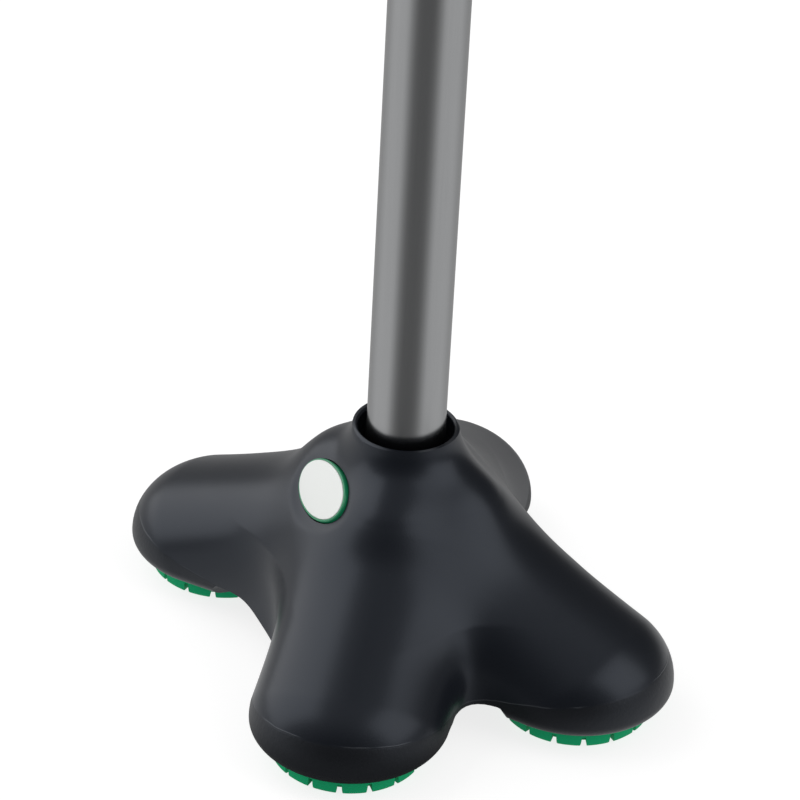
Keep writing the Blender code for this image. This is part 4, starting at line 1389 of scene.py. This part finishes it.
@dataclass
class Fixing:
    """The screw and washer under the boot."""

    head_radius: float = 0.0052
    head_height: float = 0.0036
    head_edge: float = 0.0006
    screw_radius: float = 0.0030
    tip_edge: float = 0.0005
    washer_radius: float = 0.0080
    socket_radius: float = 0.0029
    socket_depth: float = 0.0020

    def build(self) -> None:
        """Build the screw and washer and hand them over."""
        low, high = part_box("foot_washer")
        hole = self.screw_radius + GAP
        washer = [
            (self.washer_radius, high.z, EASED),
            (self.washer_radius, low.z, EASED),
            (hole, low.z, HAIR),
            (hole, high.z, HAIR),
        ]
        made = turned("pocket_washer", washer)
        hand_over(made, Finishes.ZINC, Body.FOOT, "foot_washer")
        low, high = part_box("foot_screw")
        under = low.z + self.head_height
        screw = [
            (0.0, high.z),
            (self.screw_radius, high.z, self.tip_edge),
            (self.screw_radius, under),
            (self.head_radius, under, FINE),
            (self.head_radius, low.z, self.head_edge),
            (0.0, low.z),
        ]
        made = turned("pocket_screw", screw)
        floor, mouth = low.z + self.socket_depth, low.z - MARGIN
        radius = self.socket_radius
        socket = [(0.0, floor), (radius, floor), (radius, mouth), (0.0, mouth)]
        carve(made, [turned("socket_cutter", socket, HEXAGON)])
        hand_over(made, Finishes.ZINC, Body.FOOT, "foot_screw")


@dataclass
class Tubes:
    """The lower shaft, and the upper shaft with its height holes and its bow."""

    lower_radius: float = 0.009525
    lower_wall: float = 0.0012
    upper_radius: float = 0.0111
    slide_gap: float = 0.0003
    end_row: float = 0.001  # from a tube's end to the first points along it
    button_radius: float = 0.0032
    button_height: float = 0.5350
    hole_count: int = 13
    hole_pitch: float = 0.01905
    rest_hole: int = 6
    hole_flare: float = 0.0005
    hole_to_end: float = 0.0320
    hole_to_bend: float = 0.0595
    lean: float = math.radians(55.0)
    lower_bend: float = 0.0400
    straight: float = 0.0370
    upper_bend: float = 0.0320
    grip_length: float = 0.0940
    arc_step: float = math.radians(1.5)
    around: int = 96

    @property
    def lowest_hole(self) -> float:
        """Height of the lowest hole."""
        return self.button_height - self.rest_hole * self.hole_pitch

    def arc(self, points: list[Vector], heading: float, turn: float, radius: float) -> float:
        """Carry a line in the X-Z plane on along an arc.

        Args:
            points: The line, which grows.
            heading: Its angle from +Z towards +X at its end.
            turn: How far the arc turns, positive towards +X.
            radius: The arc's radius.

        Returns:
            The heading at the arc's end.
        """
        side = math.copysign(1.0, turn)
        cos, sin = wave(heading)
        centre = points[-1] + side * radius * Vector((cos, -sin))
        count = math.ceil(abs(turn) / self.arc_step)
        for index in range(1, count + 1):
            cos, sin = wave(heading + turn * index / count)
            points.append(centre - side * radius * Vector((cos, -sin)))
        return heading + turn

    def line(self) -> list[Vector]:
        """Lay the centre line of the upper tube.

        Returns:
            Its points, as (x, z).
        """
        bottom = self.lowest_hole - self.hole_to_end
        bend = self.lowest_hole + (self.hole_count - 1) * self.hole_pitch + self.hole_to_bend
        points = [Vector((0.0, height)) for height in (bottom, bend - self.end_row / 2.0, bend)]
        heading = self.arc(points, 0.0, self.lean, self.lower_bend)
        cos, sin = wave(heading)
        points.append(points[-1] + self.straight * Vector((sin, cos)))
        self.arc(points, heading, -self.lean - math.pi / 2.0, self.upper_bend)
        points.append(points[-1] - Vector((self.grip_length, 0.0)))
        return points

    def sweep(
        self, name: str, points: Sequence[Vector], outer: float, inner: float
    ) -> bpy.types.Object:
        """Make a tube along (x, z) points, which carries the lay of its drawing lines.

        Args:
            name: The object's name.
            points: Its centre line.
            outer: Its outer radius.
            inner: Its inner radius.

        Returns:
            The tube.
        """
        runs = [0.0]
        for first, second in zip(points, points[1:]):
            runs.append(runs[-1] + (second - first).length)
        last = len(points) - 1
        headings = []
        for index in range(last + 1):
            span = points[min(index + 1, last)] - points[max(index - 1, 0)]
            headings.append(span.normalized())
        between = range(1, last)
        stations = [(0, outer - FINE, 0.0), (0, outer, FINE)]
        stations += [(index, outer, 0.0) for index in between]
        stations += [(last, outer, -FINE), (last, outer - FINE, 0.0), (last, inner, 0.0)]
        stations += [(index, inner, 0.0) for index in reversed(between)]
        stations.append((0, inner, 0.0))
        shape = bmesh.new()
        lay = shape.verts.layers.float_vector.new(Finishes.TUBE.lay)
        rings = []
        for index, radius, shift in stations:
            ahead = headings[index]
            middle = points[index] + ahead * shift
            ring = []
            for step in range(self.around):
                cos, sin = wave(2.0 * math.pi * step / self.around)
                out, level = radius * cos, radius * sin
                x, z = middle.x + ahead.y * out, middle.y - ahead.x * out
                vert = shape.verts.new((x, level, z))
                vert[lay] = (out, level, runs[index] + shift)
                ring.append(vert)
            rings.append(ring)
        walls(shape, rings + rings[:1])
        return solid(name, shape)

    def hole_cutter(self) -> bpy.types.Object:
        """Make the cutter of the row of height holes, each with a broken edge.

        Returns:
            The cutter.
        """
        radius = self.button_radius + GAP
        skin = self.upper_radius
        corners = [
            (0.0, skin + MARGIN),
            (radius + self.hole_flare + MARGIN, skin + MARGIN),
            (radius, skin - self.hole_flare),
            (radius, 0.0),
            (0.0, 0.0),
        ]
        drill = turned("drill", corners, DRILL_ROUND, facing((0.0, 0.0, 0.0), REARWARDS))
        sizes = {
            "Drill": drill,
            "Count": self.hole_count,
            "First": self.lowest_hole,
            "Pitch": self.hole_pitch,
        }
        recipe = Recipe("height_holes", sizes)
        given = recipe.given
        values = {"Object": given("Drill")}
        item = recipe.node("GeometryNodeObjectInfo", values=values, output="Geometry")
        start, step = (recipe.vector(0.0, 0.0, given(label)) for label in ("First", "Pitch"))
        made = recipe.cutter(recipe.row(item, given("Count"), start, step))
        bpy.data.objects.remove(drill, do_unlink=True)
        return made

    def build(self) -> None:
        """Build both tubes and hand them over."""
        low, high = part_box("lower_tube")
        heights = (low.z, low.z + self.end_row, high.z - self.end_row, high.z)
        points = [Vector((0.0, height)) for height in heights]
        inner = self.lower_radius - self.lower_wall
        lower = self.sweep("shaft_tube", points, self.lower_radius, inner)
        reach, bore = self.lower_radius + MARGIN, self.button_radius + GAP
        corners = [(0.0, reach), (bore, reach), (bore, 0.0), (0.0, 0.0)]
        place = facing((0.0, 0.0, self.button_height), REARWARDS)
        carve(lower, [turned("drill", corners, DRILL_ROUND, place)])
        hand_over(lower, Finishes.TUBE, Body.FOOT, "lower_tube")
        inner = self.lower_radius + self.slide_gap
        upper = self.sweep("bow_tube", self.line(), self.upper_radius, inner)
        carve(upper, [self.hole_cutter()])
        hand_over(upper, Finishes.TUBE, Body.HANDLE, "upper_tube")


@dataclass
class Collar:
    """The height lock: split sleeve, wiper ring, fluted ring, and the snap button above them."""

    sleeve_radius: float = 0.0134
    flange_radius: float = 0.0152
    flange: float = 0.0040
    throat: float = 0.0127  # length of the sleeve below the upper tube
    lower_radius: float = 0.009525
    upper_radius: float = 0.0111
    slots: int = 4
    slot_width: float = 0.0016
    slot_depth: float = 0.0090
    wiper_radius: float = 0.0124
    wiper_gap: float = 0.0006
    lock_radius: float = 0.0170
    lock_lip: float = 0.0034
    lock_lip_edge: float = 0.0005
    lock_edge: float = 0.0010
    lock_band: float = 0.0035  # from each end to where the wall is evenly fluted
    flutes: int = 18
    flute_steps: int = 24
    flute_depth: float = 0.0008
    flute_share: float = 0.42
    button_radius: float = 0.0032
    button_dome: float = 0.0016
    button_head: float = 0.0040
    button_head_thickness: float = 0.0010
    dome_steps: int = 10

    def sleeve(self) -> bpy.types.Object:
        """Make the split sleeve, with its slots cut.

        Returns:
            The sleeve.
        """
        low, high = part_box("collar_sleeve")
        top = high.z - self.flange
        outer, bore = self.upper_radius + GAP, self.lower_radius + GAP
        seat = low.z + self.throat - GAP
        corners = [
            (self.flange_radius, high.z, WORN),
            (self.flange_radius, top, SOFT),
            (self.sleeve_radius, top, FINE),
            (self.sleeve_radius, low.z, EASED),
            (bore, low.z),
            (bore, seat),
            (outer, seat),
            (outer, high.z, SOFT),
        ]
        height, reach = self.slot_depth + MARGIN, self.sleeve_radius + MARGIN
        sizes = {
            "Size": (reach, self.slot_width, height),
            "Middle": (reach / 2.0, 0.0, low.z + self.slot_depth - height / 2.0),
            "Count": self.slots,
        }
        recipe = Recipe("sleeve_slots", sizes)
        bar = recipe.node("GeometryNodeMeshCube", values={"Size": recipe.given("Size")})
        values = {"Geometry": bar, "Translation": recipe.given("Middle")}
        bar = recipe.node("GeometryNodeTransform", values=values)
        bars = recipe.spokes(bar, recipe.given("Count"), 0.0)
        return carve(turned("split_sleeve", corners), [recipe.cutter(bars)])

    def fluted_ring(self) -> bpy.types.Object:
        """Make the lock ring, its outer wall fluted by rule.

        Returns:
            The ring.
        """
        low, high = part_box("lock_ring")
        lip = self.lower_radius + self.wiper_gap
        bore = self.sleeve_radius + GAP
        shoulder = low.z + self.lock_lip
        corners = [
            (self.lock_radius, high.z, self.lock_edge),
            (self.lock_radius, high.z - self.lock_band),
            (self.lock_radius, low.z + self.lock_band),
            (self.lock_radius, low.z, self.lock_edge),
            (lip, low.z, self.lock_lip_edge),
            (lip, shoulder),
            (bore, shoulder),
            (bore, high.z, SOFT),
        ]
        ring = turned("fluted_ring", corners, self.flute_steps * self.flutes)
        sizes = {
            "Count": float(self.flutes),
            "Depth": self.flute_depth,
            "Share": self.flute_share,
            "Inner": 0.5 * (self.lock_radius + bore),
            "Outer": self.lock_radius,
        }
        recipe = Recipe("flutes", sizes)
        given = recipe.given
        x, y, z = recipe.parts(recipe.position())
        radius = (x * x + y * y) ** 0.5
        turn = y.maths("ARCTAN2", x) * given("Count") / (2.0 * math.pi)
        away = abs(turn.maths("FRACT") - 0.5) * 2.0 / given("Share")
        hollow = (1.0 - away * away).maths("MAXIMUM", 0.0)
        reach = radius.ramp(given("Inner"), given("Outer"))
        scale = 1.0 - hollow * reach * given("Depth") / radius
        place = recipe.vector(x * scale, y * scale, z)
        return recipe.apply(ring, recipe.move(given("Geometry"), place), Finishes.NYLON)

    def button(self) -> bpy.types.Object:
        """Make the domed snap button.

        Returns:
            The button.
        """
        low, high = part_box("snap_button")
        reach, back = -low.x, -high.x
        neck = back + self.button_head_thickness
        corners: list[Corner] = [(0.0, reach)]
        for step in range(1, self.dome_steps + 1):
            cos, sin = wave(0.5 * math.pi * step / self.dome_steps)
            corners.append((self.button_radius * sin, reach - self.button_dome * (1.0 - cos)))
        corners += [
            (self.button_radius, neck),
            (self.button_head, neck, FINE),
            (self.button_head, back, FINE),
            (0.0, back),
        ]
        place = facing((0.0, 0.0, 0.5 * (low.z + high.z)), REARWARDS)
        return turned("domed_button", corners, SMALL_ROUND, place)

    def build(self) -> None:
        """Build the collar's pieces and hand them over."""
        hand_over(self.sleeve(), Finishes.NYLON, Body.HANDLE, "collar_sleeve")
        low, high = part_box("wiper_ring")
        inner = self.lower_radius + self.wiper_gap
        wiper = [
            (self.wiper_radius, high.z, EASED),
            (self.wiper_radius, low.z, EASED),
            (inner, low.z, EASED),
            (inner, high.z, EASED),
        ]
        made = turned("wiper_seal", wiper)
        hand_over(made, Finishes.TREAD, Body.WIPER, "wiper_ring")
        hand_over(self.fluted_ring(), Finishes.NYLON, Body.LOCK, "lock_ring")
        hand_over(self.button(), Finishes.ZINC, Body.BUTTON, "snap_button")


@dataclass
class Grip:
    """The handle: core, contoured cover, end cap and its screw."""

    tube_radius: float = 0.0111
    length: float = 0.0940
    front: float = 0.0040
    core_wall: float = 0.0018
    collar: float = 0.0040
    collar_radius: float = 0.0150
    collar_edge: float = 0.0012
    radius: float = 0.0172
    waist: float = 0.0160
    lip: float = 0.0006
    rows: int = 190
    around: int = 256
    cap_radius: float = 0.0166
    cap_thickness: float = 0.0065
    cap_edge: float = 0.0020
    screw_radius: float = 0.0020
    screw_head: float = 0.0039
    screw_head_height: float = 0.0022
    screw_head_edge: float = 0.0007
    screw_length: float = 0.0180
    cross_size: Point = (0.0042, 0.0008, 0.0030)
    cross_taper: float = 0.45
    pip_pitch: float = 0.0034
    pip_rows: float = 0.866  # of the pitch, from row to row
    pip_size: float = 0.0011
    pip_height: float = 0.00035
    pip_margin: float = 0.012
    pip_fade: float = 0.004
    pip_skin: float = 0.001  # under the waist, from where the cover is its bore
    pip_skin_fade: float = 0.0005

    def place(self) -> Matrix:
        """Return the frame of the handle: its origin where the bow ends and its +Z rearwards."""
        low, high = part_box("grip_core")
        return facing((high.x + self.front, 0.0, 0.5 * (low.z + high.z)), REARWARDS)

    def cover(self, place: Matrix) -> bpy.types.Object:
        """Make the contoured cover with its rows of soft pips.

        Args:
            place: Frame of the handle.

        Returns:
            The cover.
        """
        bore = self.tube_radius + GAP + self.core_wall + GAP
        start = self.front + self.collar + GAP
        length = self.length - start
        rear = start + length
        corners: list[Corner] = [(bore, rear), (self.waist - self.lip, rear)]
        for step in range(self.rows, -1, -1):
            share = step / self.rows
            end = min(share, 1.0 - share) * length
            inside = self.lip**2 - max(0.0, self.lip - end) ** 2
            drop = self.lip - math.sqrt(max(0.0, inside))
            swell = (self.radius - self.waist) * math.sin(math.pi * share) ** 2
            corners.append((self.waist + swell - drop, start + share * length))
        corners.append((bore, start))
        cover = turned("contoured_cover", corners, self.around)
        sizes = {
            "Pitch": self.pip_pitch,
            "Size": self.pip_size,
            "Height": self.pip_height,
            "Around": float(round(2.0 * math.pi * self.waist / self.pip_pitch)),
            "Front": start + self.pip_margin,
            "Rear": rear - self.pip_margin,
            "Skin": self.waist - self.pip_skin,
        }
        recipe = Recipe("pips", sizes)
        given = recipe.given
        x, y, z = recipe.parts(recipe.position())
        radius = (x * x + y * y) ** 0.5
        pitch = given("Pitch")
        row = (z / (pitch * self.pip_rows)).maths("ROUND")
        column = y.maths("ARCTAN2", x) / (2.0 * math.pi) * given("Around") + row * 0.5
        across = (column - column.maths("ROUND")) * pitch
        along = z - row * pitch * self.pip_rows
        away = (across * across + along * along) ** 0.5
        pip = away.ramp(given("Size"), 0.0)
        inside = z.ramp(given("Front"), given("Front") + self.pip_fade)
        inside = inside * z.ramp(given("Rear"), given("Rear") - self.pip_fade)
        skin = radius.ramp(given("Skin"), given("Skin") + self.pip_skin_fade)
        scale = 1.0 + pip * inside * skin * given("Height") / radius
        spot = recipe.vector(x * scale, y * scale, z)
        recipe.apply(cover, recipe.move(given("Geometry"), spot), Finishes.GRIP)
        cover.data.transform(place)
        return cover

    def cross(self, top: float, place: Matrix) -> bpy.types.Object:
        """Make the cutter of the cross in the screw's head, wide above and narrow below.

        Args:
            top: Height of the head's face.
            place: Frame of the handle.

        Returns:
            The cutter.
        """
        shape = bmesh.new()
        size = Matrix.Diagonal((*self.cross_size, 1.0))
        for turn in (0.0, math.pi / 2.0):
            blade = Matrix.Translation((0.0, 0.0, top)) @ Matrix.Rotation(turn, 4, "Z") @ size
            bmesh.ops.create_cube(shape, size=1.0, matrix=blade)
        for vert in shape.verts:
            if vert.co.z < top:
                vert.co.x *= self.cross_taper
                vert.co.y *= self.cross_taper
        blades = solid("cross_cutter", shape, place)
        union = blades.modifiers.new("Join", "BOOLEAN")
        union.operand_type = "COLLECTION"
        union.operation = "UNION"
        union.solver = "EXACT"
        union.use_self = True
        return settle(blades)

    def build(self) -> None:
        """Build the handle's pieces and hand them over."""
        place = self.place()
        inner = self.tube_radius + GAP
        outer = inner + self.core_wall
        collar_end = self.front + self.collar
        core = [
            (outer, self.length, FINE),
            (outer, collar_end),
            (self.collar_radius, collar_end, EASED),
            (self.collar_radius, self.front, self.collar_edge),
            (inner, self.front, EASED),
            (inner, self.length),
        ]
        made = turned("grip_sleeve", core, place=place)
        hand_over(made, Finishes.NYLON, Body.HANDLE, "grip_core")
        hand_over(self.cover(place), Finishes.GRIP, Body.HANDLE, "grip_cover", corner=40.0)
        seat = self.length + GAP
        back = seat + self.cap_thickness
        pocket, hole = self.screw_head + GAP, self.screw_radius + GAP
        floor = back - self.screw_head_height - 2.0 * GAP
        cap = [
            (self.cap_radius, back, self.cap_edge),
            (self.cap_radius, seat, EASED),
            (hole, seat),
            (hole, floor),
            (pocket, floor),
            (pocket, back, EASED),
        ]
        made = turned("end_cap", cap, LARGE_ROUND, place)
        hand_over(made, Finishes.NYLON, Body.HANDLE, "grip_end_cap")
        under = floor + GAP
        top, tip = under + self.screw_head_height, under - self.screw_length
        screw = [
            (0.0, top),
            (self.screw_head, top, self.screw_head_edge),
            (self.screw_head, under, HAIR),
            (self.screw_radius, under),
            (self.screw_radius, tip, SOFT),
            (0.0, tip),
        ]
        made = turned("cap_screw", screw, SMALL_ROUND, place)
        carve(made, [self.cross(top, place)])
        hand_over(made, Finishes.ZINC, Body.HANDLE, "grip_screw")


@dataclass
class ButtonSpring:
    """The V spring behind the snap button, whose near leg goes in with the button."""

    node: str = "button_spring"
    merge: float = 1e-6

    def build(self, packed: bpy.types.Object) -> None:
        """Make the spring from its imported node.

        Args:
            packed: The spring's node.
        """
        shape = bmesh.new()
        shape.from_mesh(packed.data)
        bmesh.ops.remove_doubles(shape, verts=shape.verts, dist=self.merge)
        spring = solid("v_spring", shape)
        dress(spring, Finishes.SPRING, self.node)
        low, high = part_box(self.node)
        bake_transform(spring)


@dataclass
class HiddenPieces:
    """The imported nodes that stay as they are, and what each is dressed in."""

    finishes: dict[str, Finish] = field(
        default_factory=lambda: {
            "foot_core": Finishes.NYLON,
            "shaft_plug": Finishes.ZINC,
            "glide_cap": Finishes.NYLON,
            "grip_plug": Finishes.NYLON,
        }
    )

    def dress(self, nodes: Mapping[str, bpy.types.Object]) -> None:
        """Put each node's finish into its material slots.

        Args:
            nodes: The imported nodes, by name.
        """
        for name, finish in self.finishes.items():
            node = nodes[name]
            if not node.material_slots:
                node.data.materials.append(None)
            for place in node.material_slots:
                place.material = finish.material()
            LOG.info("%s keeps its own shape", name)


@dataclass(frozen=True)
class Lamp:
    """A soft square lamp that looks at the foot.

    Its bearing is measured from the camera's side, in degrees, and grows to the right.
    """

    name: str
    bearing: float
    rise: float
    size: float
    power: float
    distance: float = 1.4
    height: float = 0.05  # of what it looks at


@dataclass(frozen=True)
class Glow:
    """A soft-edged round part of the surround, brighter or darker than the rest."""

    bearing: float
    rise: float
    inner: float
    outer: float
    strength: float


@dataclass
class Studio:
    """The photograph's camera, a pale floor, two window-like lamps and a white surround."""

    azimuth: float = math.radians(66.265)
    elevation: float = math.radians(31.03)
    roll: float = math.radians(3.10)
    lens: float = 171.77
    sensor: float = 36.0
    nearest: float = 0.01
    farthest: float = 20.0
    distance: float = 0.9097
    aside: float = -0.001791
    height: float = 0.06605
    lamps: tuple[Lamp, ...] = (
        Lamp("left_window", -110.0, 36.0, 1.7, 14.0),
        Lamp("right_window", 72.0, 38.0, 1.2, 6.0),
    )
    sky: float = 0.45
    sky_glows: tuple[Glow, ...] = (
        Glow(-10.0, 5.0, 20.0, 66.0, -0.40),
        Glow(125.0, 8.0, 15.0, 60.0, -0.28),
        Glow(180.0, 10.0, 20.0, 75.0, -0.10),
    )
    ground: float = 0.85
    ground_glows: tuple[Glow, ...] = (
        Glow(-4.0, 0.0, 5.0, 58.0, -0.66),
        Glow(180.0, 0.0, 20.0, 85.0, -0.42),
    )
    bounce: float = 0.30
    bounce_light: float = 0.8  # that the lamps and the sky throw on the floor
    white: float = 0.80
    floor_size: float = 3.0
    floor_drop: float = 0.0002

    def axes(self) -> tuple[Vector, Vector, Vector]:
        """Work out how the camera stands, before its roll.

        Returns:
            Its right, up and back directions.
        """
        level, rise = wave(self.elevation)
        ahead, aside = wave(self.azimuth)
        back = Vector((aside * level, -ahead * level, rise))
        right = (-back).cross(Vector((0.0, 0.0, 1.0))).normalized()
        return right, right.cross(-back), back

    def camera(self) -> None:
        """Set up the camera at the photograph's viewpoint."""
        right, up, back = self.axes()
        place = right * self.aside + Vector((0.0, 0.0, self.height)) + back * self.distance
        data = bpy.data.cameras.new("photo_camera")
        data.sensor_width = self.sensor
        data.lens = self.lens
        data.clip_start = self.nearest
        data.clip_end = self.farthest
        made = bpy.data.objects.new("photo_camera", data)
        bpy.context.scene.collection.objects.link(made)
        turn = Matrix((right, up, back)).transposed().to_4x4() @ Matrix.Rotation(self.roll, 4, "Z")
        made.matrix_world = Matrix.Translation(place) @ turn
        bpy.context.scene.camera = made

    def towards(self, bearing: float, rise: float) -> Vector:
        """Work out a direction from the cane.

        Args:
            bearing: Its bearing from the camera's side, in degrees.
            rise: Its rise over the level, in degrees.

        Returns:
            The direction, of length 1.
        """
        right, _, back = self.axes()
        flat = Vector((back.x, back.y, 0.0)).normalized()
        near, aside = wave(math.radians(bearing))
        level, lift = wave(math.radians(rise))
        return (flat * near + right * aside) * level + Vector((0.0, 0.0, lift))

    def light(self) -> None:
        """Hang the lamps round the foot."""
        for lamp in self.lamps:
            data = bpy.data.lights.new(lamp.name, "AREA")
            data.size = lamp.size
            data.energy = lamp.power
            made = bpy.data.objects.new(lamp.name, data)
            bpy.context.scene.collection.objects.link(made)
            aim = Vector((0.0, 0.0, lamp.height))
            way = self.towards(lamp.bearing, lamp.rise)
            made.matrix_world = facing(aim + way * lamp.distance, way)

    def brightness(
        self, nodes: Nodes, way: Signal, level: float, glows: Sequence[Glow]
    ) -> Signal:
        """Work out how bright the surround is as a light, and as gloss mirrors it.

        Args:
            nodes: The tree that is being filled.
            way: The direction, of length 1.
            level: Brightness as a light.
            glows: The parts that gloss mirrors brighter or darker than that.

        Returns:
            The brightness.
        """
        total: Any = 0.0
        settings = {"operation": "DOT_PRODUCT"}
        for glow in glows:
            values = {0: way, 1: tuple(self.towards(glow.bearing, glow.rise))}
            along = nodes.node("ShaderNodeVectorMath", settings, values, output="Value")
            inner, outer = (math.cos(math.radians(edge)) for edge in (glow.inner, glow.outer))
            total = along.ramp(outer, inner) * glow.strength + total
        gloss = nodes.node("ShaderNodeLightPath", output="Is Glossy Ray")
        return total * gloss + level

    @staticmethod
    def seen(nodes: Nodes) -> Signal:
        """Return 1 where a ray is the camera's or comes through glass."""
        camera = nodes.node("ShaderNodeLightPath", output="Is Camera Ray")
        return camera.maths("MAXIMUM", camera.other("Is Transmission Ray"))

    def glowing(self, nodes: Nodes, kind: str, bright: Signal, white: float) -> Signal:
        """Add a shader that shines as a light does and looks plain to the camera.

        Args:
            nodes: The tree that is being filled.
            kind: The shader's type.
            bright: Its brightness as a light.
            white: Its brightness where it is seen.

        Returns:
            The shader.
        """
        strength = bright + self.seen(nodes) * (white - bright)
        return nodes.node(kind, values={"Color": (1.0, 1.0, 1.0, 1.0), "Strength": strength})

    def world(self) -> None:
        """Make the surround: white where it is seen, and darker round the camera as gloss."""
        world = bpy.data.worlds.new("studio")
        bpy.context.scene.world = world
        world.use_nodes = True
        world.node_tree.nodes.clear()
        nodes = Nodes(world.node_tree)
        way = nodes.node("ShaderNodeTexCoord", output="Generated")
        bright = self.brightness(nodes, way, self.sky, self.sky_glows)
        background = self.glowing(nodes, "ShaderNodeBackground", bright, 1.0)
        nodes.node("ShaderNodeOutputWorld", values={"Surface": background})

    def floor(self) -> None:
        """Lay the pale floor, which keeps the cane's shadow."""
        shape = bmesh.new()
        bmesh.ops.create_grid(shape, x_segments=1, y_segments=1, size=self.floor_size)
        made = solid("floor", shape, Matrix.Translation((0.0, 0.0, -self.floor_drop)))
        material = bpy.data.materials.new("pale_floor")
        material.use_nodes = True
        material.node_tree.nodes.clear()
        shading = Shading(material.node_tree)
        values = {"Color": (self.bounce, self.bounce, self.bounce, 1.0)}
        matt = shading.node("ShaderNodeBsdfDiffuse", values=values)
        settings = {"operation": "NORMALIZE"}
        way = shading.node("ShaderNodeVectorMath", settings, {0: shading.place()})
        level = self.ground - self.bounce * self.bounce_light
        bright = self.brightness(shading, way, level, self.ground_glows)
        glow = self.glowing(shading, "ShaderNodeEmission", bright, self.white)
        both = shading.node("ShaderNodeAddShader", values={0: matt, 1: glow})
        shading.node("ShaderNodeOutputMaterial", values={"Surface": both})
        made.data.materials.append(material)

    def build(self) -> None:
        """Set up the whole studio."""
        bpy.context.scene.view_settings.view_transform = "Standard"
        self.camera()
        self.light()
        self.world()
        self.floor()


def main() -> None:
    """Build the studio and dress the cane."""
    logging.basicConfig(level=logging.INFO, format="%(name)s: %(message)s")
    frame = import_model()
    Studio().build()
    for assembly in (FootBoot(), Treads(), Badge(), Fixing(), Tubes(), Collar(), Grip()):
        assembly.build()
    ButtonSpring().build(frame["nodes"]["button_spring"])
    HiddenPieces().dress(frame["nodes"])


if __name__ == "__main__":
    main()
